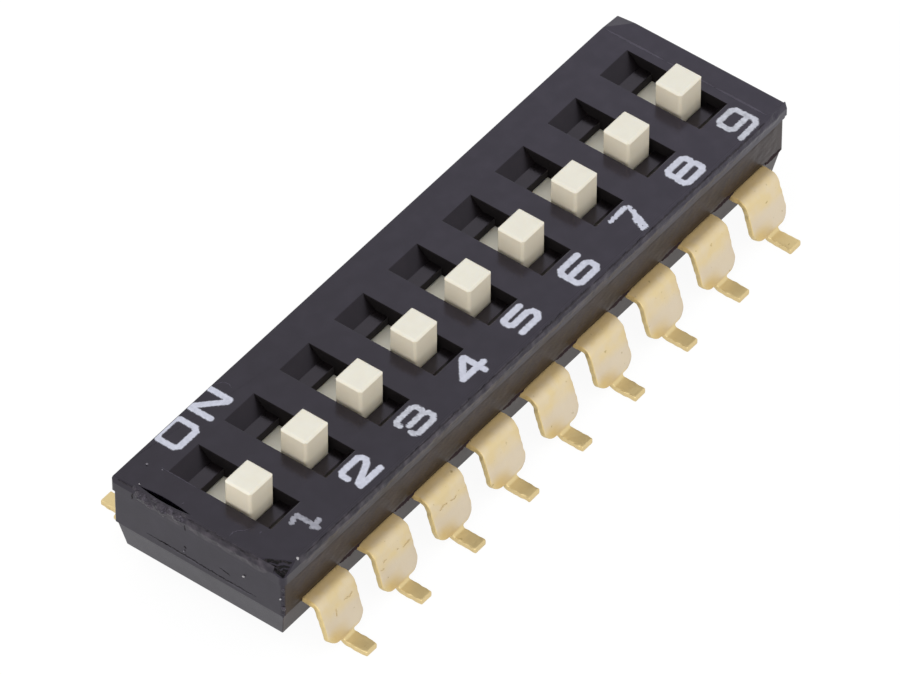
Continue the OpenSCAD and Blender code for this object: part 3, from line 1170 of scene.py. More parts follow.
# Centre lines of each character's strokes. X is from the middle of its switch, Y from the middle
# of the bank.
GLYPHS: dict[str, tuple[Stroke, ...]] = {
    "1": (
        ((-0.1, -2.09), (0.06, -2.04), (0.21, -2.03), (0.21, -2.5), (0.19, -2.8)),
        ((0.12, -2.66), (0.36, -2.65), (0.45, -2.62)),
    ),
    "2": (
        ((-0.34, -2.3), (-0.34, -2.11), (-0.24, -2.01), (0.49, -2.01), (0.58, -2.11))
        + ((0.58, -2.24), (0.45, -2.36), (-0.28, -2.65), (-0.32, -2.76), (0.58, -2.76)),
    ),
    "3": (
        ((-0.33, -2.2), (-0.33, -2.08), (-0.23, -2.01), (0.45, -2.01))
        + ((0.56, -2.11), (0.56, -2.3), (0.47, -2.4), (-0.16, -2.4)),
        ((0.47, -2.4), (0.6, -2.52), (0.6, -2.68), (0.47, -2.79), (-0.23, -2.79))
        + ((-0.33, -2.7), (-0.33, -2.6)),
    ),
    "4": (((0.395, -2.75), (0.395, -1.98), (0.33, -1.98), (-0.31, -2.5), (0.62, -2.52)),),
    "5": (
        ((0.48, -1.99), (-0.27, -1.99), (-0.33, -2.08), (-0.33, -2.22), (-0.25, -2.31))
        + ((0.42, -2.31), (0.57, -2.42), (0.57, -2.57), (0.43, -2.7), (-0.31, -2.7)),
    ),
    "6": (
        ((0.6, -2.06), (-0.18, -2.06), (-0.31, -2.18), (-0.31, -2.74), (-0.2, -2.84))
        + ((0.5, -2.84), (0.61, -2.74), (0.61, -2.53), (0.5, -2.43), (-0.25, -2.43)),
    ),
    "7": (
        ((-0.24, -2.0), (0.43, -1.98), (0.54, -2.06), (0.48, -2.3), (0.33, -2.52)),
        ((0.27, -2.5), (0.1, -2.92)),
        ((0.4, -2.5), (0.22, -2.93)),
    ),
    "8": (
        ((-0.1, -2.08), (0.54, -2.08), (0.64, -2.18), (0.64, -2.33), (0.58, -2.44))
        + ((0.66, -2.54), (0.66, -2.74), (0.54, -2.84), (-0.1, -2.84), (-0.22, -2.74))
        + ((-0.22, -2.54), (-0.15, -2.44), (-0.2, -2.33), (-0.2, -2.18), (-0.1, -2.08)),
        ((-0.15, -2.44), (0.58, -2.44)),
    ),
    "9": (
        ((0.6, -2.57), (-0.06, -2.57), (-0.17, -2.46), (-0.17, -2.13), (-0.06, -2.03))
        + ((0.5, -2.03), (0.62, -2.13), (0.64, -2.82), (0.5, -2.93), (-0.24, -2.95)),
    ),
    "O": (
        ((0.26, 2.28), (1.01, 2.28), (1.13, 2.4), (1.13, 2.95), (1.04, 3.07))
        + ((0.24, 3.07), (0.14, 2.95), (0.14, 2.4), (0.26, 2.28)),
    ),
    "N": (
        ((-0.87, 2.27), (-0.87, 2.98), (-0.76, 2.98), (-0.06, 2.3), (0.05, 2.3), (0.05, 3.06)),
    ),
}
# How far a character is worn, where 1 takes most of its thin places, and the ink left on it
WORN = {"1": (0.45, WORN_INK), "3": (0.25, RUBBED_INK), "7": (0.45, INK), "9": (0.22, RUBBED_INK)}
UNWORN = (0.05, INK)


@dataclass
class Legend:
    """One printed character: where the distance to its strokes is under half a pen, ink lies."""

    glyph: str
    switch: int
    top: float
    pen: float = 0.21
    cell: float = 0.014
    margin: float = 0.18
    # The ink stops short of the rim
    limit_y: float = 3.05
    # How far the ink stands up, and the thin ink that bled out of it with its spread
    lift: float = 0.006
    bled_lift: float = 0.003
    bleed: float = 0.022
    # How far it reaches into the plastic
    root: float = 0.002
    # The waver of its edge
    ragged: Layers = ((0.007, 0.16, 1.0, 1.0), (0.004, 0.05, 1.0, 1.0))
    # How far wear thins it and eats into it, over what length, and the ripple that it spares
    thinned: float = 0.05
    rubbed: float = 0.09
    rub_length: float = 0.1
    spared: float = 0.1
    # The least slope of the distance that the outline is smoothed by
    flattest: float = 0.3

    def distance(self, x: Array, y: Array) -> Array:
        """Distance from each point to the nearest stroke of the glyph.

        Args:
            x: X of each point, from the middle of the switch.
            y: Y of each point.

        Returns:
            The distances.
        """
        best = np.full(x.shape, 1e9)
        for stroke in GLYPHS[self.glyph]:
            for (ax, ay), (bx, by) in zip(stroke, stroke[1:]):
                dx, dy = bx - ax, by - ay
                t = np.clip(((x - ax) * dx + (y - ay) * dy) / (dx * dx + dy * dy), 0, 1)
                best = np.minimum(best, np.hypot(x - ax - t * dx, y - ay - t * dy))
        return best

    def build(self, bled: bool) -> None:
        """Adds the ink: kept cells of a fine grid, as a thin plate with closed sides.

        Corners of the kept cells that lie outside the outline are pulled back onto it along the
        distance's own slope, so that the edge is smooth apart from its ragged waver. Where the
        character is worn, the outline also retreats by the positive part of a coarser ripple.

        Args:
            bled: Whether this is the thin bleed round the ink.
        """
        rng = np.random.default_rng(ord(self.glyph))
        reach = np.concatenate([np.array(stroke) for stroke in GLYPHS[self.glyph]])
        low, high = reach.min(axis=0) - self.margin, reach.max(axis=0) + self.margin
        spans = [np.arange(start, end, self.cell) for start, end in zip(low, high)]
        x, y = np.meshgrid(*spans, indexing="ij")
        outline = self.distance(x, y) - self.pen / 2 - (self.bleed if bled else 0.0)
        outline += ripples(x, y, self.ragged, rng)
        worn, ink = WORN.get(self.glyph, UNWORN)
        rubbed = np.clip(ripple(x, 0.5 * y, self.rub_length, rng) - self.spared, 0, None)
        outline += worn * (self.thinned + self.rubbed * rubbed)
        keep = (outline[:-1, :-1] + outline[1:, 1:]) / 2 < 0
        keep &= (y[:-1, :-1] + y[1:, 1:]) / 2 < self.limit_y
        gx, gy = np.gradient(outline, self.cell)
        slope = np.maximum(np.hypot(gx, gy), self.flattest)
        pull = np.clip(outline, 0, self.cell) / slope
        x = x - pull * gx / slope + switch_x(self.switch)
        y = y - pull * gy / slope
        lift, ink, tail = (self.bled_lift, BLED_INK, "_bleed") if bled else (self.lift, ink, "")
        shell = plate(x, y, keep, (self.top - self.root, self.top + lift))
        dress(write_mesh(f"print_{self.glyph}{tail}", *shell, ink.material), Slot.INK)


@dataclass
class Marking:
    """The printed numbers and the word, each character with the thin bleed round its ink."""

    word: str = "ON"

    def build(self) -> None:
        """Prints a number below each slot and the word above the first two."""
        top = float(box_mm("cover")[1][2])
        numbers = [(str(switch), switch) for switch in SWITCHES]
        for glyph, switch in numbers + list(zip(self.word, SWITCHES)):
            for bled in (False, True):
                Legend(glyph, switch, top).build(bled)


# ---- wear, and lines of painted shade and highlight ----

RIGHT, BACK, UP = (1.0, 0.0, 0.0), (0.0, 1.0, 0.0), (0.0, 0.0, 1.0)


@dataclass(frozen=True)
class Plane:
    """A face of the cover that wear lies on: its origin, its two axes and its outward normal."""

    origin: Place
    across: Place
    up: Place
    normal: Place

    def over(self, across: Array, up: Array, out: Array | float) -> Array:
        """Turns places on the face into positions.

        Args:
            across: Place along the face's first axis.
            up: Place along its second axis.
            out: Height over the face.

        Returns:
            The positions.
        """
        parts = ((across, self.across), (up, self.up), (out, self.normal))
        steps = [np.asarray(values)[..., None] * np.array(axis) for values, axis in parts]
        return np.array(self.origin) + steps[0] + steps[1] + steps[2]


END_X = -BODY_L / 2
SIDE_Y = -BODY_W / 2
# How far the rim band stands out, the height of its slope, and its height
RIM_OUT = 0.07
RIM_BEVEL = 0.22
RIM_H = 0.62
FIELD = Plane((0.0, 0.0, TOP), RIGHT, BACK, UP)
SIDE = Plane((0.0, SIDE_Y, 0.0), RIGHT, UP, (0.0, -1.0, 0.0))
SIDE_EDGE = Plane((0.0, SIDE_Y - 0.02, 0.0), RIGHT, UP, (0.0, -0.953, 0.303))
END = Plane((END_X, 0.0, 0.0), BACK, UP, (-1.0, 0.0, 0.0))
END_BAND = Plane((END_X - RIM_OUT, 0.0, 0.0), BACK, UP, (-1.0, 0.0, 0.0))
END_EDGE = Plane((END_X - 0.02, 0.0, 0.0), BACK, UP, (-0.953, 0.0, 0.303))
# The same end, read the other way so that a sheet on its rim turns outwards
END_RIM = Plane((END_X, 0.0, 0.0), (0.0, -1.0, 0.0), UP, (-1.0, 0.0, 0.0))


@dataclass(frozen=True)
class RimSheet:
    """A rough sheet over the rim band, which follows the band's section.

    The section goes from the top edge over the slope to the upright face. Each of its corners has
    a place out and up from the rim's edge, and the tilt of its outward direction in degrees.
    """

    name: str
    plane: Plane
    section: tuple[Place, ...]
    depth: float

    def lay(self, u: Array, v: Array, lengths: Array, height: Array) -> None:
        """Adds the sheet.

        Args:
            u: Place along the rim.
            v: Distance down the section.
            lengths: Distance down the section of each of its corners.
            height: Height over the band.
        """
        out, up, tilt = (np.interp(v, lengths, column) for column in np.array(self.section).T)
        tilt = np.radians(tilt)
        layers = [
            self.plane.over(u, TOP + up + rise * np.sin(tilt), out + rise * np.cos(tilt))
            for rise in (height, -self.depth)
        ]
        closed_sheet(self.name, *layers, HANDLED)


@dataclass(frozen=True)
class RimFlash(RimSheet):
    """The rough skin that moulding and handling left on one rim band."""

    start: float
    end: float
    seed: int
    tall: float
    cell: float = 0.022
    # Its height as a share of the tallest: on average, at least and at most, with ripples
    level: Place = (0.75, 0.1, 1.5)
    layers: Layers = ((0.3, 0.9, 1.0, 1.5), (0.2, 0.24, 1.0, 1.0), (0.12, 0.1, 1.0, 1.0))
    # Over what distance it sinks into the band at its top, at its foot and at its two ends
    borders: Place = (0.06, 0.24, 0.5)
    root: float = 0.002

    def build(self) -> None:
        """Adds the skin: slow ripples with finer ones on them, sunk into the band at its borders."""
        rng = np.random.default_rng(self.seed)
        lengths = running(np.hypot(*np.diff(np.array(self.section)[:, :2], axis=0).T))
        along, down = np.arange(self.start, self.end, self.cell), np.linspace(0, lengths[-1], 26)
        u, v = np.meshgrid(along, down, indexing="ij")
        middling, least, most = self.level
        rolling = np.clip(middling + ripples(u, v, self.layers, rng), least, most)
        top, foot, ends = self.borders
        border = np.clip(v / top, 0, 1) * np.clip((lengths[-1] - v) / foot, 0, 1)
        border = border * inside(u, self.start, self.end, ends)
        height = self.tall * rolling * border**1.5 - self.root
        self.lay(u, v, lengths, height)


@dataclass(frozen=True)
class TornLip(RimSheet):
    """The lip torn up beside the split: rounded lumps that run into each other."""

    # Each lump's place along Y, place down the section, reach each way and height
    lumps: tuple[tuple[float, ...], ...] = (
        (2.3, 0.09, 0.08, 0.07, 0.05),
        (2.0, 0.27, 0.27, 0.19, 0.07),
        (1.72, 0.42, 0.14, 0.1, 0.05),
        (1.56, 0.14, 0.12, 0.08, 0.03),
        (1.28, 0.3, 0.26, 0.22, 0.09),
        (1.0, 0.2, 0.17, 0.13, 0.055),
        (0.7, 0.26, 0.26, 0.16, 0.065),
        (0.5, 0.07, 0.11, 0.08, 0.055),
    )
    lengths: tuple[float, ...] = (0.0, 0.03, 0.07, 0.3, 0.58)
    start: float = 0.34
    end: float = 2.42
    # How far the sheet sinks into the rim where no lump is
    root: float = 0.012
    layers: Layers = ((0.012, 0.2, 1.0, 1.0), (0.006, 0.07, 1.0, 1.0))
    # Over what distance it sinks into the rim at its top and foot, and at its two ends
    borders: tuple[float, float] = (0.05, 0.06)

    def build(self) -> None:
        """Adds the lip.

        Each lump is a dome, one minus the squared distance from its middle, a little flattened.
        The lip is the highest dome at each place, roughened by two ripples.
        """
        rng = np.random.default_rng(5)
        along, down = np.linspace(self.start, self.end, 170), np.linspace(0, self.lengths[-1], 48)
        u, v = np.meshgrid(along, down, indexing="ij")
        height = np.full(u.shape, -self.root)
        for middle, level, reach_u, reach_v, tall in self.lumps:
            span = 1 - ((u - middle) / reach_u) ** 2 - ((v - level) / reach_v) ** 2
            height = np.maximum(height, tall * np.clip(span, 0, 1) ** 0.8 - self.root * (span < 0))
        height += ripples(u, v, self.layers, rng)
        edges, ends = self.borders
        border = inside(v, 0.0, down[-1], edges) * inside(u, self.start, self.end, ends)
        height = (height + self.root) * border - self.root
        self.lay(-u[::-1], v, self.lengths, height[::-1])


@dataclass(frozen=True)
class WallSkin:
    """The scuffed skin on the wall under the numbers, from the rim to near the parting."""

    reach: float = BODY_L / 2 - 0.25
    high: float = -RIM_H - 0.03
    low: float = -1.78
    cell: float = 0.035
    # Its height over the wall on average, how far its borders sink, and its underside
    lift: float = 0.006
    root: float = 0.004
    depth: float = 0.03
    layers: Layers = (
        (0.002, 0.3, 0.6, 1.0),
        (0.0015, 0.12, 1.0, 1.0),
        (0.0025, 0.6, 1.0, 1.0),
    )
    # Over what distance it sinks into the wall at its top and foot, and at its two ends
    borders: tuple[float, float] = (0.1, 0.3)

    def build(self) -> None:
        """Adds the skin: a ripple drawn out along the wall with two more on it, sunk at borders."""
        rng = np.random.default_rng(31)
        along = np.arange(-self.reach, self.reach, self.cell)
        u, v = np.meshgrid(along, np.linspace(self.high, self.low, 38), indexing="ij")
        height = self.lift + ripples(u, v, self.layers, rng)
        edges, ends = self.borders
        border = inside(v, self.low, self.high, edges) * inside(u, -self.reach, self.reach, ends)
        raised = SIDE.over(u, TOP + v, (height + self.root) * border - self.root)
        closed_sheet("number_side_skin", raised, SIDE.over(u, TOP + v, -self.depth), NUMBER_SIDE)


@dataclass(frozen=True)
class BrokenCorner:
    """Ripples in the break at the corner, like the rings of a shell round where it started."""

    # Where the break meets the side's top edge, the end's top edge and the upright edge
    ends: tuple[Place, Place, Place] = (
        (END_X + 0.64, SIDE_Y, TOP),
        (END_X, SIDE_Y + 1.02, TOP),
        (END_X - 0.02, SIDE_Y - 0.02, TOP - 0.24),
    )
    # How far the break reaches from its corner, the width and height of a ring, and their waver
    reach: float = 0.7
    ring: float = 0.17
    tall: float = 0.018
    waver: Layers = ((0.05, 0.6, 1.0, 1.0),)
    grain: Layers = ((0.006, 0.3, 3.0, 1.0),)
    lift: float = 0.02
    root: float = 0.004
    depth: float = 0.05
    # Share of the break over which the rings fade at its outer edge, and at its two sides
    borders: tuple[float, float] = (0.12, 0.1)

    def build(self) -> None:
        """Adds a sheet over the break: its relief is the sine of the distance from the corner."""
        a, b, c = np.array(self.ends)
        u, v = np.meshgrid(np.linspace(0, 1, 50), np.linspace(0, 1, 40), indexing="ij")
        flat = c + v[..., None] * ((1 - u)[..., None] * (a - c) + u[..., None] * (b - c))
        normal = np.cross(a - c, b - c)
        normal /= np.linalg.norm(normal)
        rng = np.random.default_rng(9)
        away = self.reach * v + ripples(u, v, self.waver, rng)
        relief = self.tall * np.sin(2 * np.pi * away / self.ring)
        relief += ripples(u, v, self.grain, rng) + self.lift
        outer, sides = self.borders
        fade = np.clip((1 - v) / outer, 0, 1) * inside(u, 0.0, 1.0, sides)
        raised = flat + normal * (relief * fade - self.root)[..., None]
        sunk = flat - normal * self.depth
        # With its rows in the other order the sheet turns outwards
        closed_sheet("broken_corner", raised[::-1], sunk[::-1], TORN)


@dataclass(frozen=True)
class Scores:
    """Thin ragged ribbons of one kind on one face: scored lines, cracks and scuffs, and lines of
    painted shade and highlight.
    """

    name: str
    plane: Plane
    finish: Finish
    # Each one's line on the face, its width in its middle, and how ragged it is
    marks: Sequence[tuple[Stroke, float, float]]
    lift: float = 0.003
    depth: float = 0.02
    slot: Slot = Slot.PLASTIC
    # Between sections, and over what lengths the width and the middle line waver
    step: float = 0.02
    width_length: float = 0.14
    drift_length: float = 0.35
    thinnest: float = 0.001

    def ribbon(self, number: int) -> Array:
        """Makes one ribbon, which tapers to nothing at both ends.

        Half the width at a share t of the length is w / 2 * sqrt(sin(pi t)), roughened by a
        waver, and the middle line wanders by part of the width.

        Args:
            number: Which of the marks it is.

        Returns:
            Positions, by section and by corner: two over the face and two in it.
        """
        line, width, ragged = self.marks[number]
        rng = np.random.default_rng(number + 17)
        path = self.plane.over(*np.array(line).T, 0.0)
        lengths = running(np.linalg.norm(np.diff(path, axis=0), axis=1))
        s = np.linspace(0, lengths[-1], max(int(lengths[-1] / self.step), 8))
        middle = np.stack([np.interp(s, lengths, axis) for axis in path.T], axis=-1)
        heading = np.gradient(middle, axis=0)
        heading /= np.linalg.norm(heading, axis=1)[:, None]
        normal = np.array(self.plane.normal)
        side = np.cross(normal, heading)
        swell = np.sqrt(np.sin(np.pi * np.clip(s / lengths[-1], 1e-3, 1 - 1e-3)))
        half = width / 2 * swell * (1 + ragged * wavering(s, self.width_length, rng))
        aside = side * np.maximum(half, self.thinnest)[:, None]
        drift = width / 2 * ragged * wavering(s, self.drift_length, rng)
        middle = middle + side * drift[:, None]
        over, under = normal * self.lift, -normal * self.depth
        ring = [middle + aside + over, middle - aside + over]
        return np.stack([*ring, middle - aside + under, middle + aside + under], axis=1)

    def build(self) -> None:
        """Adds the ribbons as one piece."""
        points, faces, count = [], [], 0
        for number in range(len(self.marks)):
            ribbon = self.ribbon(number)
            last = 4 * (len(ribbon) - 1)
            ends = np.array([[0, 1, 2, 3], [last + 3, last + 2, last + 1, last]])
            walls = grid_quads(len(ribbon), 4, wrap=True)[:, ::-1]
            faces.append(np.concatenate([walls, ends]) + count)
            points.append(ribbon.reshape(-1, 3))
            count += 4 * len(ribbon)
        shell = np.concatenate(points), np.concatenate(faces)
        dress(write_mesh(self.name, *shell, self.finish.material, smooth=False), self.slot)


@dataclass(frozen=True)
class Crumbs:
    """Crumbs: spheres whose radius varies with direction by a few sine waves."""

    name: str
    finish: Finish
    # Centre and radius of each crumb
    places: Sequence[Place] | Array
    sizes: Sequence[float] | Array
    seed: int
    slot: Slot = Slot.INK
    rings: int = 6
    around: int = 12
    # How lumpy they are, how many lumps that gives, and how far they are stretched each way
    lumpy: float = 0.32
    lumps: float = 2.2
    stretch: tuple[float, float] = (0.6, 1.3)

    def build(self) -> None:
        """Adds the crumbs as one piece."""
        rng = np.random.default_rng(self.seed)
        turns = np.linspace(0, 2 * np.pi, self.around + 1)[:-1]
        falls = np.linspace(0, np.pi, self.rings + 2)[1:-1]
        fall, turn = np.meshgrid(falls, turns, indexing="ij")
        unit = [np.sin(fall) * np.cos(turn), np.sin(fall) * np.sin(turn), np.cos(fall)]
        unit = np.concatenate([np.stack(unit, axis=-1).reshape(-1, 3), [[0, 0, 1], [0, 0, -1]]])
        near, far = np.arange(self.around), np.roll(np.arange(self.around), -1)
        pole, last = self.rings * self.around, (self.rings - 1) * self.around
        faces = [
            *grid_quads(self.rings, self.around, wrap=True)[:, ::-1],
            *np.stack([near, far, np.full(self.around, pole)], axis=-1),
            *np.stack([far + last, near + last, np.full(self.around, pole + 1)], axis=-1),
        ]
        points, shells = [], []
        for number, (place, size) in enumerate(zip(self.places, self.sizes)):
            waves = rng.normal(0, self.lumps, (4, 3))
            swell = np.sin(unit @ waves.T + rng.uniform(0, 6, 4)).mean(axis=1)
            radius = 1 + self.lumpy * swell
            stretch = rng.uniform(*self.stretch, 3)
            points.append(np.array(place) + size * radius[:, None] * unit * stretch)
            shells += [face + len(unit) * number for face in faces]
        made = write_mesh(self.name, np.concatenate(points), shells, self.finish.material)
        dress(made, self.slot)


# Marks that the bending die left on the front legs, by switch: place across the leg and height.
LEG_MARKS: dict[int, tuple[Stroke, ...]] = {
    1: (((0.18, 1.29), (0.3, 1.27), (0.45, 1.23), (0.58, 1.31)), ((-0.17, 1.24), (-0.25, 1.02))),
    2: (
        ((-0.54, 1.28), (-0.38, 1.29)),
        ((0.1, 1.28), (0.19, 1.27)),
        ((-0.72, 1.13), (-0.55, 1.09)),
        ((0.36, 1.19), (0.7, 1.24)),
    ),
    3: (((-0.46, 1.24), (-0.29, 1.28), (-0.1, 1.27)), ((0.05, 1.25), (0.2, 1.2), (0.33, 1.24))),
}
# The dark seam under the rim's edge, painted shade under its lip: along the number side, where
# each length of it starts and its width; along the end, where each starts, its length and its width.
SEAM_Z = TOP - 0.055
SIDE_SEAM = (
    ((-10.9, 0.03), (-8.3, 0.04), (-5.6, 0.05), (-3.0, 0.04))
    + ((-0.2, 0.06), (2.6, 0.05), (5.2, 0.06), (7.8, 0.06))
)
SIDE_SEAM_LENGTH = 3.1
END_SEAM = (
    ((0.35, 0.8, 0.07), (-0.3, 0.7, 0.09), (-0.85, 0.9, 0.07))
    + ((-1.5, 0.7, 0.1), (2.9, 0.6, 0.05))
)
# Where the slotted field ends at switch 9
FAR_LAND_X = 11.15


@dataclass
class Wear:
    """Rough rims, the torn place beside the split, the broken corner, scored lines, dust, and lines
    of painted shade and highlight.
    """

    sizes: StripSizes = field(default_factory=StripSizes)

    def sheets(self) -> None:
        """Adds the skins on the rims and the wall, the torn lip and the broken corner."""
        band = (
            (-0.02, 0.0, 90.0),
            (0.0, 0.0, 60.0),
            (RIM_OUT, -RIM_BEVEL, 10.0),
            (RIM_OUT, -0.42, 0.0),
            (RIM_OUT, -0.5, 0.0),
        )
        depth = 0.04
        start, end = END_X + 0.55, 0.05 - END_X
        RimFlash("number_side_rim", SIDE, band, depth, start, end, seed=21, tall=0.02).build()
        start, end = SIDE_Y + 0.8, -SIDE_Y - 0.3
        RimFlash("switch_1_end_rim", END_RIM, band, depth, start, end, seed=22, tall=0.018).build()
        WallSkin().build()
        torn = (
            (-0.05, -0.03, 100.0),
            (-0.04, 0.0, 90.0),
            (0.0, 0.0, 60.0),
            (RIM_OUT, -RIM_BEVEL, 15.0),
            (RIM_OUT, -0.5, 0.0),
        )
        TornLip("torn_lip", END_RIM, torn, depth=0.05).build()
        BrokenCorner().build()

    def scores(self) -> None:
        """Adds the scored lines, cracks and scuffs of the cover, the painted shade of the seams and
        the parting, and the painted highlight along two edges of the top.
        """
        long_score = ((1.9, 2.04), (0.5, 2.03), (-0.7, 1.98), (-2.1, 1.99))
        ends = (
            (long_score, 0.04, 0.6),
            (((1.45, 2.04), (1.1, 2.03)), 0.05, 0.5),
            (((-0.75, 2.33), (-1.15, 2.27)), 0.035, 0.8),
            (((0.54, 2.36), (0.44, 2.34)), 0.07, 0.4),
        )
        lips = (
            (((1.2, 1.97), (0.3, 1.96), (-0.4, 1.93)), 0.03, 0.4),
            (((-0.9, 1.92), (-2.0, 1.93)), 0.03, 0.4),
        )
        side_seam = [
            (((start, SEAM_Z), (start + SIDE_SEAM_LENGTH, SEAM_Z)), width, 0.35)
            for start, width in SIDE_SEAM
        ]
        end_seam = [
            (((start, SEAM_Z), (start - long, SEAM_Z)), width, 0.35)
            for start, long, width in END_SEAM
        ]
        # Painted shade along the parting line, between neighbouring terminals and past the last one
        parting = [
            (((switch_x(s) + 0.84, 1.85), (switch_x(s + 1) - 0.7, 1.88)), 0.16, 0.2)
            for s in SWITCHES[:-1]
        ]
        parting.append((((11.0, 1.78), (11.8, 1.84)), 0.17, 0.15))
        curl = ((-11.77, -1.02), (-11.58, -1.01), (-11.43, -1.08), (-11.31, -1.23), (-11.16, -1.3))
        # Scuffs rubbed paler; the straight lines on slot 1's edge and the far land also paint an
        # edge highlight
        scuffs = (
            (curl, 0.03, 0.5),
            (((-11.15, -1.62), (-11.05, -1.63)), 0.04, 0.3),
            (((-11.62, 0.83), (-11.5, 0.8)), 0.04, 0.3),
            (((-10.84, 2.2), (-10.86, 0.85)), 0.035, 0.3),
            (((-7.39, 3.03), (-7.14, 2.9), (-7.1, 2.7), (-7.18, 2.53)), 0.03, 0.5),
            (((FAR_LAND_X, 2.98), (FAR_LAND_X, 0.75)), 0.08, 0.15),
            (((FAR_LAND_X, 0.7), (FAR_LAND_X, -1.1)), 0.07, 0.15),
            (((FAR_LAND_X, -1.05), (FAR_LAND_X, -3.0)), 0.08, 0.15),
        )
        cracks = (
            (((2.33, 3.46), (2.35, 3.2)), 0.05, 0.4),
            (((0.44, 3.46), (0.42, 3.14)), 0.04, 0.4),
        )
        for kind in (
            Scores("end_scores", END, CRACKED, ends),
            Scores("end_score_lips", END, BURNISHED_AND_HIGHLIGHT, lips, lift=0.002),
            Scores("number_side_seam", SIDE_EDGE, SEAM_SHADE, side_seam, lift=0.018),
            Scores("end_rim_seam", END_EDGE, SEAM_SHADE, end_seam, lift=0.018),
            Scores("parting_shade", SIDE, PARTING_SHADE, parting),
            Scores("top_scuffs_and_highlights", FIELD, BURNISHED_AND_HIGHLIGHT, scuffs),
            Scores("rim_cracks", END_BAND, CRACKED, cracks),
        ):
            kind.build()

    def specks(self) -> None:
        """Adds the dust: bright specks and faint ones."""
        bright = (
            (-11.74, 2.26, 3.69),
            (-11.25, -3.08, 3.68),
            (-11.93, -1.65, 2.57),
            (-11.93, -2.98, 2.5),
        )
        faint = ((-11.0, 2.58, 3.69), (-10.9, 2.1, 3.68), (-11.93, 0.52, 2.2))
        Crumbs("dust_specks", DUST, bright, (0.024, 0.042, 0.042, 0.038), seed=8).build()
        Crumbs("faint_specks", FAINT_DUST, faint, (0.035, 0.02, 0.025), seed=18).build()

    def leg_marks(self) -> None:
        """Adds the marks on the front legs where the bending die held them.

        The leg's outer face starts where the shoulder has turned by the leg's own slope, and
        falls from there along that slope.
        """
        size = self.sizes
        outer = size.shoulder_radius + size.thickness / 2
        start = size.wall + size.stub + outer * math.sin(size.turn)
        level = box_mm("front_terminal_1")[1][2] - outer * (1 - math.cos(size.turn))
        slope = 1 / math.tan(size.turn)
        normal = (0.0, -math.sin(size.turn), math.cos(size.turn))
        leg = Plane((0.0, -start - level * slope, 0.0), RIGHT, (0.0, slope, 1.0), normal)
        marks = [
            (tuple((switch_x(switch) + x, z) for x, z in line), 0.035, 0.7)
            for switch, lines in LEG_MARKS.items()
            for line in lines
        ]
        Scores("leg_marks", leg, PLATE_MARK, marks, lift=0.012, slot=Slot.GOLD).build()

    def corner_nicks(self) -> None:
        """Frays the upright corner below the break with small flattened burrs."""
        rng = np.random.default_rng(13)
        count, inset, spread = 16, 0.055, 0.03
        highest, drop = TOP - 0.3, 1.5
        z = highest - drop * rng.uniform(0, 1, count) ** 0.8
        x = END_X + inset - spread * rng.uniform(0, 1, count)
        y = SIDE_Y + inset - spread * rng.uniform(0, 1, count)
        places = np.stack([x, y, z], axis=-1)
        sizes = rng.uniform(0.025, 0.06, count)
        Crumbs("corner_nicks", HANDLED, places, sizes, seed=14, slot=Slot.PLASTIC).build()

    def build(self) -> None:
        """Adds each kind of wear, and the lines of painted shade and highlight, where they sit on
        the bank.
        """
        self.sheets()
        self.scores()
        self.specks()
        self.leg_marks()
        self.corner_nicks()


# ---- studio ----


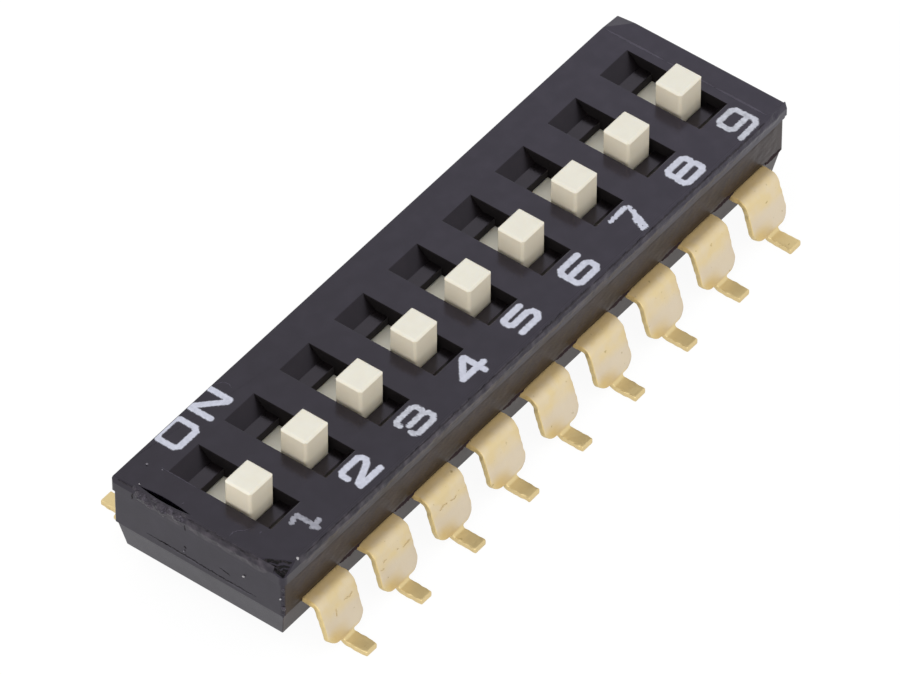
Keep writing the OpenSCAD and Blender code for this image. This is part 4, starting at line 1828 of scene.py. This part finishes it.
@dataclass(frozen=True)
class Studio:
    """Pale floor, soft light and the camera."""

    # The camera's direction in degrees, and its place from the aim along its own axes
    azimuth: float = -52.31
    elevation: float = 45.89
    aside: float = -0.139
    above: float = -1.506
    distance: float = 305.957
    focal_px: float = 10572.6
    frame_px: float = 900.0
    sensor: float = 36.0
    # The nearest and the furthest that it sees, in metres
    clip: tuple[float, float] = (0.01, 10.0)
    # The floor's half side, and its height just under the feet
    floor_reach: float = 2000.0
    floor_z: float = -0.005
    # The floor's glow, and how much of it the camera and the reflections see instead of paper
    glow: float = 1.03
    camera_glow: float = 0.9
    glossy_glow: float = 0.6
    # Each lamp's place, the length of its side and its power in watts
    lamps: tuple[tuple[str, Place, float, float], ...] = (
        ("end_softbox", (-230.0, -40.0, 85.0), 150.0, 0.16),
        ("front_fill", (-60.0, -230.0, 70.0), 150.0, 0.05),
    )

    def stand(
        self, name: str, data: bpy.types.Camera | bpy.types.Light, place: Vector, turn: Matrix
    ) -> bpy.types.Object:
        """Stands a camera or a lamp in the scene.

        Args:
            name: Name of the object.
            data: What stands there.
            place: Where, in millimetres.
            turn: Its rotation.

        Returns:
            The new object.
        """
        made = bpy.data.objects.new(name, data)
        made.matrix_world = Matrix.Translation(place * MM) @ turn.to_4x4()
        bpy.context.scene.collection.objects.link(made)
        return made

    def camera(self) -> None:
        """Stands the camera on its line of sight: aim, plus right, up and back by its offsets."""
        a, e = math.radians(self.azimuth), math.radians(self.elevation)
        back = Vector((math.sin(a) * math.cos(e), -math.cos(a) * math.cos(e), math.sin(e)))
        right = Vector((math.cos(a), math.sin(a), 0.0))
        up = back.cross(right)
        place = Vector((0, 0, TOP)) + right * self.aside + up * self.above + back * self.distance
        data = bpy.data.cameras.new("camera")
        data.sensor_width = self.sensor
        data.lens = self.focal_px / self.frame_px * self.sensor
        data.clip_start, data.clip_end = self.clip
        turn = Matrix((right, up, back)).transposed()
        bpy.context.scene.camera = self.stand("camera", data, place, turn)

    def floor(self) -> None:
        """Lays a pale floor that the camera sees near white, with the shadow kept faint."""
        reach, z = self.floor_reach, self.floor_z
        corners = [(-reach, -reach, z), (reach, -reach, z), (reach, reach, z), (-reach, reach, z)]
        material = bpy.data.materials.new("floor")
        tree = empty_tree(material)
        paper = add_node(tree, "BsdfDiffuse", ("#f8f8f8",))
        glow = add_node(tree, "Emission", ("#ffffff", self.glow))
        ray = add_node(tree, "LightPath").outputs
        glossy = (ray["Is Glossy Ray"], self.glossy_glow)
        mirrored = add_node(tree, "Math", glossy, operation="MULTIPLY")
        seen = (ray["Is Camera Ray"], self.camera_glow, mirrored)
        share = add_node(tree, "Math", seen, operation="MULTIPLY_ADD")
        mixed = add_node(tree, "MixShader", (share, paper, glow))
        add_node(tree, "OutputMaterial", (mixed,))
        floor = write_mesh("floor", np.array(corners), [[0, 1, 2, 3]], material, smooth=False)

    def world(self) -> None:
        """Lights the scene evenly from all round, like the inside of a white tent."""
        world = bpy.data.worlds.new("studio")
        bpy.context.scene.world = world
        tree = empty_tree(world)
        tent = add_node(tree, "Background", ("#ffffff", 1.0))
        add_node(tree, "OutputWorld", (tent,))

    def build(self) -> None:
        """Sets up the camera, the floor, the world and the lamps, which face the part."""
        self.camera()
        self.floor()
        self.world()
        for name, place, size, power in self.lamps:
            data = bpy.data.lights.new(name, "AREA")
            data.size = size * MM
            data.energy = power
            spot = Vector(place)
            self.stand(name, data, spot, spot.to_track_quat("Z", "Y").to_matrix())
        bpy.context.scene.view_settings.view_transform = "Standard"


def main() -> None:
    """Builds and dresses every sub-assembly, in order, then sets up the studio."""
    logging.basicConfig(level=logging.INFO, format="%(name)s: %(message)s")
    Housing().build()
    SliderBank().build()
    TerminalRows().build()
    Marking().build()
    Wear().build()
    Studio().build()


if __name__ == "__main__":
    main()
